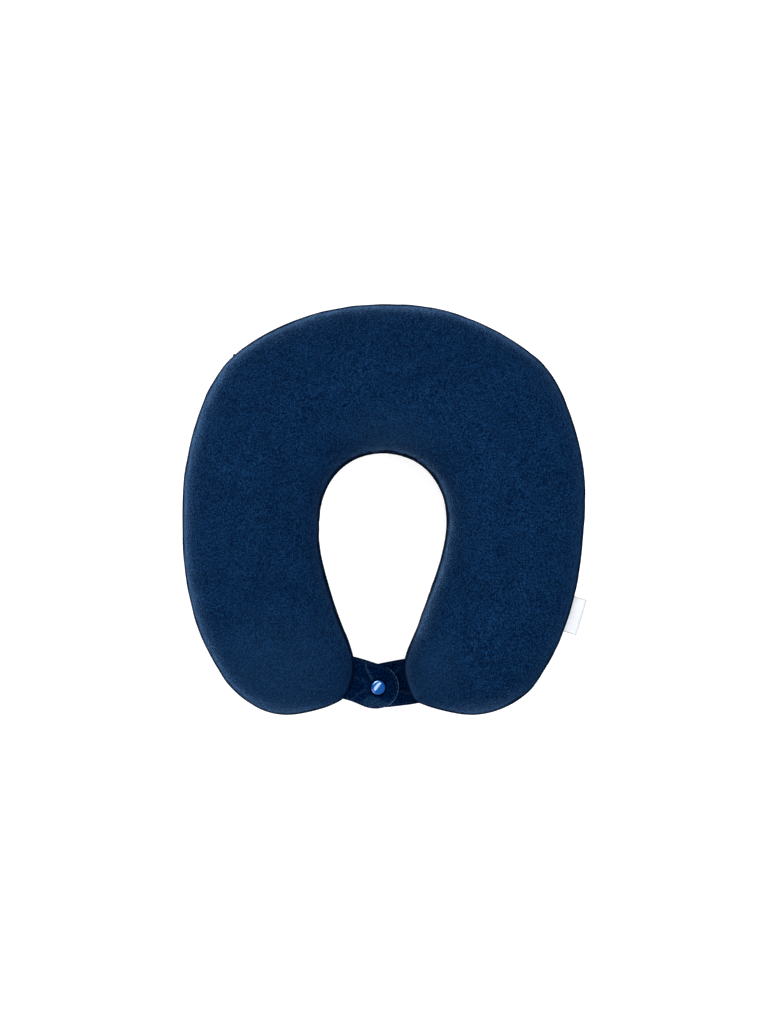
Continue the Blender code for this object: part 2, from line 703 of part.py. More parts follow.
def turned(name, profile, base_z, mat, origin):
    """A solid turned about the snap's axis, its profile measured from base_z."""
    verts = []
    for radius, z in profile[1:-1]:
        points = circle(SNAP_X, SNAP_Y, radius, SNAP_SEGMENTS)
        verts += [(x, y, base_z + z) for x, y in points]
    last = len(verts) - SNAP_SEGMENTS
    faces = []
    for i in range(0, last, SNAP_SEGMENTS):
        for j in range(SNAP_SEGMENTS):
            a, b = i + j, i + (j + 1) % SNAP_SEGMENTS
            faces.append((a, b, b + SNAP_SEGMENTS, a + SNAP_SEGMENTS))
    first_end, last_end = len(verts), len(verts) + 1
    verts += [(SNAP_X, SNAP_Y, base_z + profile[k][1]) for k in (0, -1)]
    for j in range(SNAP_SEGMENTS):
        k = (j + 1) % SNAP_SEGMENTS
        faces.append((k, j, first_end))
        faces.append((last + j, last + k, last_end))
    return build(name, verts, faces, mat, origin)


def add_snap(upper_axis, upper_origin, lower_axis, lower_origin):
    upper_inside, lower_inside = SEAM_Z + TAB_FACE_GAP, SEAM_Z - TAB_FACE_GAP
    upper_outside = upper_inside + TAB_THICKNESS
    lower_outside = lower_inside - TAB_THICKNESS
    socket_top = upper_inside - SOCKET_INSET
    cap = turned("snap_cap", CAP_PROFILE, upper_outside, SNAP_BLUE, upper_origin)
    hang(cap, upper_axis)
    socket = turned("snap_socket", SOCKET_PROFILE, socket_top, SNAP_METAL, upper_origin)
    hang(socket, upper_axis)
    stud = turned("snap_stud", STUD_PROFILE, lower_inside, SNAP_METAL, lower_origin)
    hang(stud, lower_axis)
    rivet = turned("snap_rivet", RIVET_PROFILE, lower_outside, SNAP_METAL, lower_origin)
    hang(rivet, lower_axis)


# ---------------------------------------------------------------- side label
LABEL_Y = -81.0
LABEL_LENGTH = 28.0
LABEL_WIDTH = 7.15
LABEL_ROOT_GAP = 0.65  # cover's edge to the label
LABEL_STATIONS = (3.0, 6.6)  # the label's place is searched between these
BISECTIONS = 60
TANGENT_STEP = 0.02  # in stations, each way
# Section of the folded loop, (distance out from the root, height above the seam):
# round its inside from the root and back, then round its outside.
LABEL_SECTION = (
    (0.0, 0.25), (LABEL_WIDTH - 0.9, 0.25), (LABEL_WIDTH - 0.6, 0.0),
    (LABEL_WIDTH - 0.9, -0.25), (0.0, -0.25),
    (0.0, -0.75), (LABEL_WIDTH - 0.7, -0.75), (LABEL_WIDTH - 0.15, -0.5), (LABEL_WIDTH, 0.0),
    (LABEL_WIDTH - 0.15, 0.5), (LABEL_WIDTH - 0.7, 0.75), (0.0, 0.75),
)


def right_edge_at(y):
    """Point and unit tangent, towards -Y, of the right arm's outer edge where it crosses y."""
    low, high = LABEL_STATIONS
    for _ in range(BISECTIONS):
        middle = (low + high) / 2.0
        if rails(middle)[0][1] > y:
            low = middle
        else:
            high = middle
    tangent = rails(low + TANGENT_STEP)[0] - rails(low - TANGENT_STEP)[0]
    return place(1, rails(low)[0]), tangent / np.hypot(*tangent)


def add_label(arm_axis):
    """A woven loop folded over, standing out of the right arm's outer seam."""
    root, tangent = right_edge_at(LABEL_Y)
    out = (-tangent[1], tangent[0])
    x, y = root[0] + out[0] * LABEL_ROOT_GAP, root[1] + out[1] * LABEL_ROOT_GAP
    origin = (x, y, SEAM_Z)
    axis = add_axis("side_label_axis", origin, arm_axis)
    rings = []
    for run in (-LABEL_LENGTH / 2.0, LABEL_LENGTH / 2.0):
        rings.append([
            (x + out[0] * d + tangent[0] * run, y + out[1] * d + tangent[1] * run, SEAM_Z + z)
            for d, z in LABEL_SECTION
        ])
    hang(ring_solid("side_label", rings, LABEL_WHITE, origin), axis)


# ---------------------------------------------------------------- assembly
def main():
    for old in list(bpy.data.objects):
        bpy.data.objects.remove(old, do_unlink=True)

    left_hinge = add_arm_axis("left_arm_axis", -1)
    right_hinge = add_arm_axis("right_arm_axis", 1)
    arms = ((-1, "left", left_hinge), (1, "right", right_hinge))
    add_foam(arms)
    add_cover(arms)
    add_zip_strips()
    add_pull(add_slider())
    upper_axis, upper_origin = add_tab(UPPER_TAB, left_hinge)
    lower_axis, lower_origin = add_tab(LOWER_TAB, right_hinge)
    add_snap(upper_axis, upper_origin, lower_axis, lower_origin)
    add_label(right_hinge)


main()
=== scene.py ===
# A horseshoe pillow in velour, lying on its underside on z = 0. The back of the bend is towards +Y,
# the two arms' tips are towards -Y, and left is -X. A zip runs round the outer seam at the back, a
# ribbon label is sewn into the seam, and two tabs close the mouth with a snap.
# Shapes are drawn in millimetres and become metres in to_metres().
import json
import math
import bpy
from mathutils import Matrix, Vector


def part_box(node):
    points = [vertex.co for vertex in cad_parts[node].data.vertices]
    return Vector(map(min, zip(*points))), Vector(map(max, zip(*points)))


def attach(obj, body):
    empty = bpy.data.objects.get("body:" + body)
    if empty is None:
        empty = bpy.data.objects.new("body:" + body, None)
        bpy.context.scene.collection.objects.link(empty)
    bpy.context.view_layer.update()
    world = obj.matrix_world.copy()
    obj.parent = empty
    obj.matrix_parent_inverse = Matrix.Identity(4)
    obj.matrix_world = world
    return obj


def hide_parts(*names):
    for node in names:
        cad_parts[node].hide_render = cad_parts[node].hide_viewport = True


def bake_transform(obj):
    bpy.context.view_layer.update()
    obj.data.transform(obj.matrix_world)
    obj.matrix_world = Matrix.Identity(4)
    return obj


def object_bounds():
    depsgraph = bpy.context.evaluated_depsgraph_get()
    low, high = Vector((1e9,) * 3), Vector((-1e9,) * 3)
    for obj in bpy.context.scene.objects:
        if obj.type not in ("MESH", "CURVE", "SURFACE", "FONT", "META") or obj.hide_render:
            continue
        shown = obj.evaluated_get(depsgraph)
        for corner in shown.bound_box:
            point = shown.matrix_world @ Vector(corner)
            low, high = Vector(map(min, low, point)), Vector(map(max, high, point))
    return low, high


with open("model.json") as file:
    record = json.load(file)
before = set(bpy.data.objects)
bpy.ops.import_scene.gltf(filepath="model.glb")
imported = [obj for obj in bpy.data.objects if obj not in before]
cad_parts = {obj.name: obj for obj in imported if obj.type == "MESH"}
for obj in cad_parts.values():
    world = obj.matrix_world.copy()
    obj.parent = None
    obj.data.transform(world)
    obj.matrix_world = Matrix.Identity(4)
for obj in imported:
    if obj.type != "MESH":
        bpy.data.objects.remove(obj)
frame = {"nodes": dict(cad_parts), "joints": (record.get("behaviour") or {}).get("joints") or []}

from types import SimpleNamespace

import bmesh
import bpy
import numpy as np
from mathutils import Vector
from mathutils.bvhtree import BVHTree

CAD_LOW, CAD_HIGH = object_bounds()
JOINTS = {joint["name"]: joint for joint in frame["joints"]}
MM = 0.001
HANDS = {-1: "left", 1: "right"}

# ------------------------------------------------------------------ driving dimensions, in mm
# Centre line of the right half, from the back to the arm's tip: (x, y, half width).
STATIONS = np.array(
    (
        (0.0, 97.5, 56.0), (45.0, 89.5, 57.0), (77.0, 67.0, 57.0),
        (94.5, 33.0, 54.0), (99.0, -3.0, 51.5), (96.5, -40.5, 51.5),
        (86.5, -76.5, 52.0), (69.0, -118.0, 50.0), (67.0, -153.5, 64.0),
    )
)
LAST = len(STATIONS) - 1
# the arm's end: how far from the tip its plan and its height begin to round off, and how squarely
END_LENGTH, END_POWER = 35.0, 1.6
END_DROP, DROP_POWER = 46.0, 2.3
ARM_LEAN = 4.0
# the outer seam follows this arc at the back; the zip covers part of it
SEAM_ARC_R, SEAM_ARC_Y = 186.0, -32.5
ZIP_HALF_DEG, ZIP_OPEN = 38.0, 3.2
TOP_RISE, BOTTOM_DROP, SECTION_POWER = 45.0, 47.0, 2.5

# the size in metres that the shapes are drawn at; FIT brings them to the CAD's own box
DRAWN_SIZE = (0.30094, 0.307, 0.090)
FIT = Vector([(high - low) / size for low, high, size in zip(CAD_LOW, CAD_HIGH, DRAWN_SIZE)])
SEAM_Z = (CAD_LOW.z + CAD_HIGH.z) / 2 / MM / FIT.z

# How far the cover stands off the plain form, at even steps from the left tip to the right tip.
OUTER_EASE = (
    -2.0, -1.7, -0.9, -0.1, 0.4, 1.1, 0.7, -0.5, -0.2, 0.1, 1.6, 1.9, 1.4, 1.0,
    1.8, 1.9, 1.6, 1.8, 1.8, 0.5, -0.1, -0.4, 0.0, 0.1, -1.0, -1.3, 0.1,
)
INNER_EASE = (
    1.8, 1.7, 0.0, -1.0, -1.1, -1.2, -1.2, 0.1, 0.4, 0.2, -0.1, -0.6, -1.5, -1.8,
    -1.2, -0.4, 0.1, 0.5, 0.8, 0.3, 0.3, 1.5, 1.3, 0.7, -0.1, 1.0, 3.6,
)
# The same for the inner edges near the tips, in finer steps: (from the tip, left arm, right arm).
MOUTH_EASE = np.array(
    (
        (0.0, 0.0, 0.0), (4.0, 0.0, 0.2), (8.0, 0.3, 1.4), (11.0, 0.9, 2.6),
        (14.0, 0.8, 0.5), (17.0, 0.1, -0.9), (20.0, -0.7, -1.5), (24.0, -0.9, -1.6),
        (28.0, -0.3, -1.2), (32.0, 0.2, -0.7), (38.0, 0.2, -1.1), (46.0, 0.0, -1.2),
        (56.0, 0.0, -0.5), (70.0, 0.0, 0.0),
    )
)
# blur widths (sigma) for the outer edge, the closed plan and the three eases above
OUTER_SIGMA, PLAN_SIGMA = 9.0, 7.0
OUTER_EASE_SIGMA, INNER_EASE_SIGMA, MOUTH_EASE_SIGMA = 10.0, 8.0, 2.0
PLAN_STEP, PLAN_KERNEL = 0.5, 60


# ------------------------------------------------------------------ array helpers
def ease(value):
    """Smooth step from 0 to 1."""
    value = np.clip(value, 0.0, 1.0)
    return value * value * (3.0 - 2.0 * value)


def bell(value):
    return np.exp(-(value**2))


def unit(vectors):
    return vectors / np.maximum(np.linalg.norm(vectors, axis=-1), 1e-9)[..., None]


def headings(points):
    """Unit direction of travel at each point of a line."""
    return unit(np.gradient(points, axis=0))


def run_along(points):
    """Length of the line up to each of its points."""
    steps = np.linalg.norm(np.diff(points, axis=0), axis=1)
    return np.concatenate([[0.0], np.cumsum(steps)])


def interp_columns(where, known, table):
    return np.stack([np.interp(where, known, column) for column in table.T], 1)


def gauss_columns(padded, reach, step, sigma):
    """Gaussian blur of columns already padded by `reach` rows at both ends."""
    kernel = np.exp(-((np.arange(-reach, reach + 1) * step / sigma) ** 2) / 2)
    kernel /= kernel.sum()
    return np.stack([np.convolve(column, kernel, "valid") for column in padded.T], 1)


def blur(table, step, sigma):
    """Gaussian blur of an open line that keeps its ends where they are."""
    reach = int(4 * sigma / step)
    before = 2 * table[0] - table[reach:0:-1]
    after = 2 * table[-1] - table[-2 : -reach - 2 : -1]
    return gauss_columns(np.concatenate([before, table, after]), reach, step, sigma)


def soften(rows):
    """One 1-2-1 smoothing pass down the rows, in place."""
    rows[1:-1] = (rows[:-2] + 2 * rows[1:-1] + rows[2:]) / 4


def wobble(points, wavelength, seed, waves=9):
    """Smooth seeded unevenness, about -1 to 1."""
    rng = np.random.default_rng(seed)
    total = np.zeros(points.shape[:-1])
    for _ in range(waves):
        direction = rng.normal(size=3)
        direction /= np.linalg.norm(direction)
        frequency = 2 * math.pi / (wavelength * rng.uniform(0.7, 1.5))
        total += np.sin((points @ direction) * frequency + rng.uniform(0, 2 * math.pi))
    return total / math.sqrt(waves) * 0.9


# ------------------------------------------------------------------ the pillow's form
def centre_line(station):
    """Centre, half width and heading of the right half at station numbers, by a smooth spline."""
    station = np.atleast_1d(np.asarray(station, float))
    before = STATIONS[1] * np.array([-1.0, 1.0, 1.0])
    beyond = 2 * STATIONS[LAST] - STATIONS[LAST - 1]
    knots = np.vstack([before, STATIONS, beyond])
    first = np.minimum(station.astype(int), LAST - 1)
    part = (station - first)[:, None]
    behind, near, far, ahead = (knots[first + i] for i in range(4))
    cubic = -0.5 * behind + 1.5 * near - 1.5 * far + 0.5 * ahead
    square = behind - 2.5 * near + 2.0 * far - 0.5 * ahead
    linear = 0.5 * (far - behind)
    point = ((cubic * part + square) * part + linear) * part + near
    heading = ((3.0 * cubic * part + 2.0 * square) * part + linear)[:, :2]
    return point[:, :2], point[:, 2], unit(heading)


def heading_at(side, station):
    """Which way the ring runs in plan, towards the arm's tip."""
    heading = centre_line(station)[2][0]
    return np.array([side * heading[0], heading[1]])


FINE_STATIONS = np.linspace(0.0, LAST, 3201)
FINE_RUNS = run_along(centre_line(FINE_STATIONS)[0])
RING = float(FINE_RUNS[-1])  # from the middle of the back to one tip


def rounded_end(to_tip, length, power):
    """Share of the full size left at a distance from the tip."""
    short = np.clip(1.0 - to_tip / length, 0.0, 1.0)
    return (1.0 - short**power) ** (1.0 / power)


def height_share(to_tip):
    return rounded_end(to_tip, END_DROP, DROP_POWER)


def zip_zone(bearing):
    """1 along the zip, 0 beyond its ends."""
    return 1.0 - ease((np.abs(bearing) - ZIP_HALF_DEG - 1.0) / 3.0)


def lean(x, y):
    """Shift of the arms in x; it grows towards the mouth."""
    return -ARM_LEAN * ease((-20.0 - y) / 95.0) * bell(x / 140.0)


def plain_edges(station):
    """Outer and inner edge of the right half, bearing from the arc's centre, distance to the tip."""
    centre, half_width, heading = centre_line(station)
    outward = np.stack([-heading[:, 1], heading[:, 0]], 1)
    to_tip = RING - np.interp(station, FINE_STATIONS, FINE_RUNS)
    half_width = half_width * rounded_end(to_tip, END_LENGTH, END_POWER)
    outer = centre + outward * half_width[:, None]
    inner = centre - outward * half_width[:, None]
    from_arc = outer - np.array([0.0, SEAM_ARC_Y])
    radius = np.linalg.norm(from_arc, axis=1)
    bearing = np.degrees(np.arctan2(from_arc[:, 0], from_arc[:, 1]))
    on_arc = 1.0 - ease((bearing - 41.0) / 8.0)
    outer = outer + from_arc / radius[:, None] * ((SEAM_ARC_R - radius) * on_arc)[:, None]
    return outer, inner, bearing, to_tip


def ease_plan(outer, inner):
    """Blurs the plan as one closed line, so that no corner stays sharp."""
    loop = np.concatenate([outer, inner[-2:0:-1], outer[:1]])
    run = run_along(loop)
    even = np.arange(0.0, run[-1], PLAN_STEP)
    ring = interp_columns(even, run, loop)
    ring = np.concatenate([ring[-PLAN_KERNEL:], ring, ring[:PLAN_KERNEL]])
    eased = gauss_columns(ring, PLAN_KERNEL, PLAN_STEP, PLAN_SIGMA)
    moved = interp_columns(run, np.append(even, run[-1]), np.vstack([eased, eased[:1]]))
    count = len(outer)
    back = moved[count:-1][::-1]
    return moved[:count], np.concatenate([moved[:1], back, moved[count - 1 : count]])


def make_edges():
    """Both edges as one chain of places from the left tip (-RING) to the right tip (+RING)."""
    chain = np.linspace(-RING, RING, 1401)
    station = np.interp(np.abs(chain), FINE_RUNS, FINE_STATIONS)
    outer, inner, bearing, to_tip = plain_edges(station)
    sign = np.where(chain < 0, -1.0, 1.0)
    for edge in (outer, inner):
        edge[:, 0] *= sign
        edge[:, 0] += lean(edge[:, 0], edge[:, 1])
    step = chain[1] - chain[0]
    blurred = blur(outer, step, OUTER_SIGMA)
    outer = outer + (blurred - outer) * ease((to_tip - 30.0) / 30.0)[:, None]
    outer, inner = ease_plan(outer, inner)

    knots = np.linspace(-RING, RING, len(OUTER_EASE))
    fade = ease(to_tip / 12.0)

    def spread(values, sigma):
        return blur(values[:, None], step, sigma)[:, 0]

    outer_ease = spread(np.interp(chain, knots, OUTER_EASE), OUTER_EASE_SIGMA) * fade
    inner_ease = spread(np.interp(chain, knots, INNER_EASE), INNER_EASE_SIGMA) * fade
    from_tip, left, right = MOUTH_EASE.T
    left, right = np.interp(to_tip, from_tip, left), np.interp(to_tip, from_tip, right)
    inner_ease += spread(np.where(chain < 0, left, right), MOUTH_EASE_SIGMA)
    across = unit(outer - inner)
    outer = outer + across * outer_ease[:, None]
    inner = inner - across * inner_ease[:, None]
    return chain, outer, inner, bearing * sign, to_tip


CHAIN, OUTER, INNER, CHAIN_BEARING, CHAIN_TO_TIP = make_edges()


def at(place, edge):
    return interp_columns(place, CHAIN, edge)


def flat_floor(z, soft=1.0):
    """Presses the underside onto z = 0 with a soft edge."""
    bent = np.where(z <= -2 * soft, 0.0, (z + 2 * soft) ** 2 / (8 * soft))
    return np.where(z >= 2 * soft, z, bent)


def section(degrees):
    """Section round the ring: shares of the half width (outer edge +1) and of the height."""
    angle = np.radians(degrees)
    power = 2.0 / SECTION_POWER
    cosine = np.cos(angle)
    return np.sign(cosine) * np.abs(cosine) ** power, np.abs(np.sin(angle)) ** power


def skin(place, degrees, inset, top, slot=np.zeros(1)):
    """Skin points at places along the chain. Degrees (0 outer seam, 180 inner seam) and inset
    are (places, columns); slot opens the panel's edge at the outer seam."""
    outer, inner = at(place, OUTER), at(place, INNER)
    middle, half = (outer + inner) / 2, (outer - inner) / 2
    half_width = np.linalg.norm(half, axis=1)
    across_share, up_share = section(degrees)
    across = np.maximum(half_width[:, None] - inset, 0.0) * across_share
    plan = middle[:, None] + unit(half)[:, None] * across[..., None]
    share = height_share(np.interp(place, CHAIN, CHAIN_TO_TIP))[:, None]
    lift = slot[:, None] * np.clip((90.0 - degrees) / 60.0, 0.0, 1.0)
    full = np.maximum((TOP_RISE if top else BOTTOM_DROP) * share - inset, 0.0)
    height = lift + (full - lift) * up_share
    z = SEAM_Z + height if top else flat_floor(SEAM_Z - height - inset) + inset
    return np.concatenate([plan, z[..., None]], 2)


def closed_rings(place, degrees, inset):
    """Top and bottom skin joined into closed rings."""
    upper = skin(place, degrees, inset, True)
    lower = skin(place, degrees, inset, False)
    return np.concatenate([upper, lower[:, -2:0:-1]], 1)


def half_lines(step, tip_lines, tip=46.0):
    """Places from the back towards a tip, closing up near it; the tip itself is left out."""
    body = np.linspace(0.0, RING - tip, int(round((RING - tip) / step)) + 1)
    share = np.arange(1, tip_lines + 1) / tip_lines
    return np.concatenate([body, RING - tip * (1.0 - share) ** 1.7])[:-1]


def mirrored(half):
    return np.concatenate([-half[::-1], half[1:]])


# ------------------------------------------------------------------ mesh helpers
def to_metres(points):
    return np.asarray(points, float).reshape(-1, 3) * MM * np.array([FIT.x, FIT.y, FIT.z])


def link(name, mesh):
    obj = bpy.data.objects.new(name, mesh)
    bpy.context.scene.collection.objects.link(obj)
    return obj


def mesh_object(name, points_m, faces, material=None, smooth=True, sharp=None):
    """Object with outward normals; edges above `sharp` degrees stay sharp."""
    mesh = bpy.data.meshes.new(name)
    mesh.from_pydata([tuple(point) for point in points_m], [], [tuple(face) for face in faces])
    mesh.validate()
    work = bmesh.new()
    work.from_mesh(mesh)
    bmesh.ops.recalc_face_normals(work, faces=work.faces)
    if work.calc_volume(signed=True) < 0:
        bmesh.ops.reverse_faces(work, faces=work.faces)
    work.to_mesh(mesh)
    work.free()
    if material is not None:
        mesh.materials.append(material)
    if smooth:
        mesh.shade_smooth()
        if sharp is not None:
            mesh.set_sharp_from_angle(angle=math.radians(sharp))
    return link(name, mesh)


def tube_faces(rings, sides, base=0):
    """Quads between rings of points that follow one another from index `base`."""
    faces = []
    for i in range(rings - 1):
        for j in range(sides):
            here = base + i * sides + j
            after = base + i * sides + (j + 1) % sides
            faces.append((here, after, after + sides, here + sides))
    return faces


def capped_tube_faces(rings, sides, base=0):
    near_cap = tuple(base + j for j in range(sides))[::-1]
    far_cap = tuple(base + (rings - 1) * sides + j for j in range(sides))
    return tube_faces(rings, sides, base) + [near_cap, far_cap]


def tube(path, first, second, sides):
    """Rings of points round a path; first and second are the ring's two half axes."""
    turn = (2 * math.pi * np.arange(sides) / sides)[None, :, None]
    return path[:, None] + np.cos(turn) * first[:, None] + np.sin(turn) * second[:, None]


def ring_mesh(name, loop, material=None, sharp=None):
    """A closed body from a run of closed rings; both ends are closed to a point."""
    rings, sides = loop.shape[:2]
    points = list(loop.reshape(-1, 3)) + [loop[0].mean(0), loop[-1].mean(0)]
    faces = tube_faces(rings, sides)
    near, far = rings * sides, rings * sides + 1
    last = (rings - 1) * sides
    for j in range(sides):
        after = (j + 1) % sides
        faces.append((j, after, near))
        faces.append((last + j, last + after, far))
    return mesh_object(name, to_metres(points), faces, material, sharp=sharp)


def vertex_places(mesh):
    places = np.empty(len(mesh.vertices) * 3, np.float32)
    mesh.vertices.foreach_get("co", places)
    return places.reshape(-1, 3)


def keep_rest(obj, places=None):
    """Stores each point's rest place, so that a weave stays on the cloth when it bends."""
    if places is None:
        places = vertex_places(obj.data)
    attribute = obj.data.attributes.new("rest", "FLOAT_VECTOR", "POINT")
    attribute.data.foreach_set("vector", np.asarray(places, np.float32).ravel())


def point_value(obj, name, values):
    attribute = obj.data.attributes.new(name, "FLOAT", "POINT")
    attribute.data.foreach_set("value", np.asarray(values, np.float32).ravel())


# ------------------------------------------------------------------ materials
class Shader:
    """Adds nodes to the tree of a material or a world."""

    def __init__(self, owner):
        owner.use_nodes = True
        self.owner = owner
        self.tree = owner.node_tree

    def feed(self, node, inputs):
        """Links sockets and sets plain values; a colour gets its alpha."""
        for key, value in inputs.items():
            socket = node.inputs[key]
            if isinstance(value, bpy.types.NodeSocket):
                self.tree.links.new(value, socket)
            elif isinstance(value, tuple):
                socket.default_value = (*value, 1.0)[: len(socket.default_value)]
            else:
                socket.default_value = value

    def add(self, kind, inputs=None, **settings):
        node = self.tree.nodes.new("ShaderNode" + kind)
        for name, value in settings.items():
            setattr(node, name, value)
        self.feed(node, inputs or {})
        return node

    def surface(self, inputs):
        """Fills the Principled node and returns the material."""
        self.feed(self.tree.nodes["Principled BSDF"], inputs)
        return self.owner

    def attribute(self, name, output="Fac"):
        return self.add("Attribute", attribute_name=name).outputs[output]

    def scaled(self, vector, scale):
        return self.add("VectorMath", {0: vector, "Scale": scale}, operation="SCALE").outputs[0]

    def rest(self):
        """Rest place in mm."""
        return self.scaled(self.attribute("rest", "Vector"), scale=1000.0)

    def local(self, scale=1000.0):
        """Object coordinates, in mm unless scaled otherwise."""
        return self.scaled(self.add("TexCoord").outputs["Object"], scale)

    def noise(self, vector, scale, detail=2.0, rough=0.5):
        inputs = {"Vector": vector, "Scale": scale, "Detail": detail, "Roughness": rough}
        return self.add("TexNoise", inputs).outputs["Fac"]

    def ramp(self, value, *stops):
        node = self.add("ValToRGB", {"Fac": value})
        elements = node.color_ramp.elements
        while len(elements) < len(stops):
            elements.new(0.5)
        for element, (position, colour) in zip(elements, stops):
            element.position = position
            element.color = (*colour, 1.0)
        return node.outputs["Color"]

    def math(self, operation, *values):
        return self.add("Math", dict(enumerate(values)), operation=operation).outputs[0]

    def swing(self, value, amount):
        """A 0 to 1 value centred on zero and scaled."""
        return self.math("MULTIPLY", self.math("SUBTRACT", value, 0.5), amount)

    def remap(self, value, between, gives=(0.0, 1.0)):
        inputs = {
            "Value": value,
            "From Min": between[0],
            "From Max": between[1],
            "To Min": gives[0],
            "To Max": gives[1],
        }
        return self.add("MapRange", inputs).outputs["Result"]

    def mix(self, share, first, second):
        return self.add("Mix", {0: share, 6: first, 7: second}, data_type="RGBA").outputs[2]

    def away(self, vector, centre):
        return self.add(
            "VectorMath", {0: vector, 1: centre}, operation="DISTANCE"
        ).outputs["Value"]

    def bump(self, height, strength, distance):
        inputs = {"Height": height, "Strength": strength, "Distance": distance}
        return self.add("Bump", inputs).outputs["Normal"]


def new_shader(name):
    return Shader(bpy.data.materials.new(name))


# Painted highlight, paler pile where light catches it at the inside of the bend and the arms' ends:
# (centre in mm, full up to, gone beyond, strength).
PAINTED_SHEEN_PATCHES = (
    ((2.0, 40.0, 84.0), 14.0, 44.0, 0.30),
    ((-78.0, -128.0, 84.0), 20.0, 66.0, 0.26),
    ((34.0, -118.0, 84.0), 8.0, 34.0, 0.22),
)
PAINTED_SHEEN_COLOUR = (0.0065, 0.0230, 0.0560)
# colour of the painted shadow round the snap's cap
SHADE_COLOUR = (0.0, 0.0003, 0.0015)
MOUTH_CENTRE = (4.0, -136.0, 62.0)
NAP_DIRECTION = (-0.85, 0.35, 0.40)


def pile_tone(shader, place, grain, fine, patch, streak):
    """Brightness of the pile, about 0.5: it clumps more in some places than in others."""
    coarse = shader.noise(place, scale=0.03)
    clump = shader.remap(coarse, between=(0.35, 0.65), gives=(1.05, 1.50))
    grain_share, fine_share = 0.70, 0.30
    tone = shader.math(
        "ADD",
        shader.math("MULTIPLY", grain, grain_share),
        shader.math("MULTIPLY", fine, fine_share),
    )
    tone = shader.swing(tone, amount=clump)
    tone = shader.math("ADD", tone, shader.swing(streak, amount=0.09))
    tone = shader.math("ADD", tone, shader.swing(patch, amount=0.08))
    return shader.math("ADD", tone, 0.5)


def edge_on_share(shader):
    """0 where upright sides are seen edge-on, 1 elsewhere: the mask of a painted dark outline."""
    facing = shader.add("LayerWeight", {"Blend": 0.5}).outputs["Facing"]
    normal = shader.add("NewGeometry").outputs["Normal"]
    normal_z = shader.add("SeparateXYZ", {0: normal}).outputs["Z"]
    level = shader.math("ABSOLUTE", normal_z, 0.0)
    upright = shader.remap(level, between=(0.30, 0.72), gives=(0.95, 0.06))
    closed = shader.remap(facing, between=(0.67, 0.81))
    return shader.math("SUBTRACT", 1.0, shader.math("MULTIPLY", closed, upright))


def nap_shine(shader, place):
    """The nap is brushed one way and catches light there; round the mouth it is pressed flat."""
    normal = shader.add("NewGeometry").outputs["Normal"]
    brushed = shader.add(
        "VectorMath", {0: normal, 1: NAP_DIRECTION}, operation="DOT_PRODUCT"
    ).outputs["Value"]
    nap = shader.remap(brushed, between=(-0.6, 0.75), gives=(0.15, 1.0))
    pressed = shader.remap(
        shader.away(place, MOUTH_CENTRE), between=(34.0, 62.0), gives=(0.30, 1.0)
    )
    return shader.math("MULTIPLY", nap, pressed)


def velour_material(name, dark, mid, light, sheen, rim):
    """Short-pile velour with clumped grain, brushed patches, sheen, and painted highlights and
    shade.
    """
    shader = new_shader(name)
    place = shader.rest()
    grain = shader.noise(place, scale=0.95, detail=1.5, rough=0.55)
    fine = shader.noise(place, scale=2.3, detail=1.0)
    patch = shader.noise(place, scale=0.045)
    stretched = shader.add("Mapping", {"Vector": place, "Scale": (1.0, 0.4, 1.0)}).outputs[0]
    streak = shader.noise(stretched, scale=0.25, detail=3.0, rough=0.6)
    tone = pile_tone(shader, place, grain, fine, patch, streak)
    colour = shader.ramp(tone, (0.36, dark), (0.5, mid), (0.65, light))
    # painted highlight: these patches lift the colour towards the paler tone
    for centre, near, far, most in PAINTED_SHEEN_PATCHES:
        sheen_patch = shader.remap(shader.away(place, centre), between=(near, far), gives=(most, 0.0))
        colour = shader.mix(sheen_patch, colour, PAINTED_SHEEN_COLOUR)
    broken = shader.remap(grain, between=(0.40, 0.58), gives=(0.15, 1.0))
    # painted highlight: where the 'rim' attribute is set the colour goes to the rim colour
    highlight_share = shader.math("MULTIPLY", shader.attribute("rim"), broken)
    colour = shader.mix(highlight_share, colour, rim)
    # painted shade: a dark outline, the colour goes to the dark tone where upright sides are seen
    # edge-on
    clear_of_outline = edge_on_share(shader)
    colour = shader.mix(clear_of_outline, dark, colour)
    # painted shadow round the snap's cap, where the 'shade' attribute is set
    shade_depth = 0.9
    shade = shader.math("MULTIPLY", shader.attribute("shade"), shade_depth)
    shine = shader.remap(streak, between=(0.3, 0.7), gives=(sheen * 0.75, sheen * 1.25))
    shine = shader.math("MULTIPLY", shine, clear_of_outline)
    fine_height = 0.5
    height = shader.math("ADD", grain, shader.math("MULTIPLY", fine, fine_height))
    return shader.surface({
        "Base Color": shader.mix(shade, colour, SHADE_COLOUR),
        "Roughness": shader.remap(patch, between=(0.3, 0.7), gives=(0.72, 0.88)),
        "Specular IOR Level": 0.0,
        "Sheen Weight": shader.math("MULTIPLY", shine, nap_shine(shader, place)),
        "Sheen Roughness": 0.27,
        "Sheen Tint": (0.22, 0.45, 0.86),
        "Normal": shader.bump(height, strength=0.8, distance=0.0007),
    })


def foam_material():
    shader = new_shader("foam_open_cell")
    place = shader.rest()
    cells = shader.add("TexVoronoi", {"Scale": 0.8, "Vector": place}).outputs["Distance"]
    patch = shader.noise(place, scale=0.05, detail=3.0)
    return shader.surface({
        "Base Color": shader.mix(patch, (0.80, 0.76, 0.62), (0.88, 0.85, 0.74)),
        "Roughness": 0.95,
        "Normal": shader.bump(cells, strength=0.6, distance=0.0006),
    })


def thread_material():
    shader = new_shader("thread_navy")
    fuzz = shader.noise(shader.local(), scale=3.0)
    return shader.surface({
        "Base Color": shader.ramp(
            fuzz, (0.3, (0.001, 0.005, 0.018)), (0.7, (0.003, 0.013, 0.038))
        ),
        "Roughness": 0.7,
        "Specular IOR Level": 0.06,
        "Sheen Weight": 0.08,
        "Normal": shader.bump(fuzz, strength=0.4, distance=0.0002),
    })


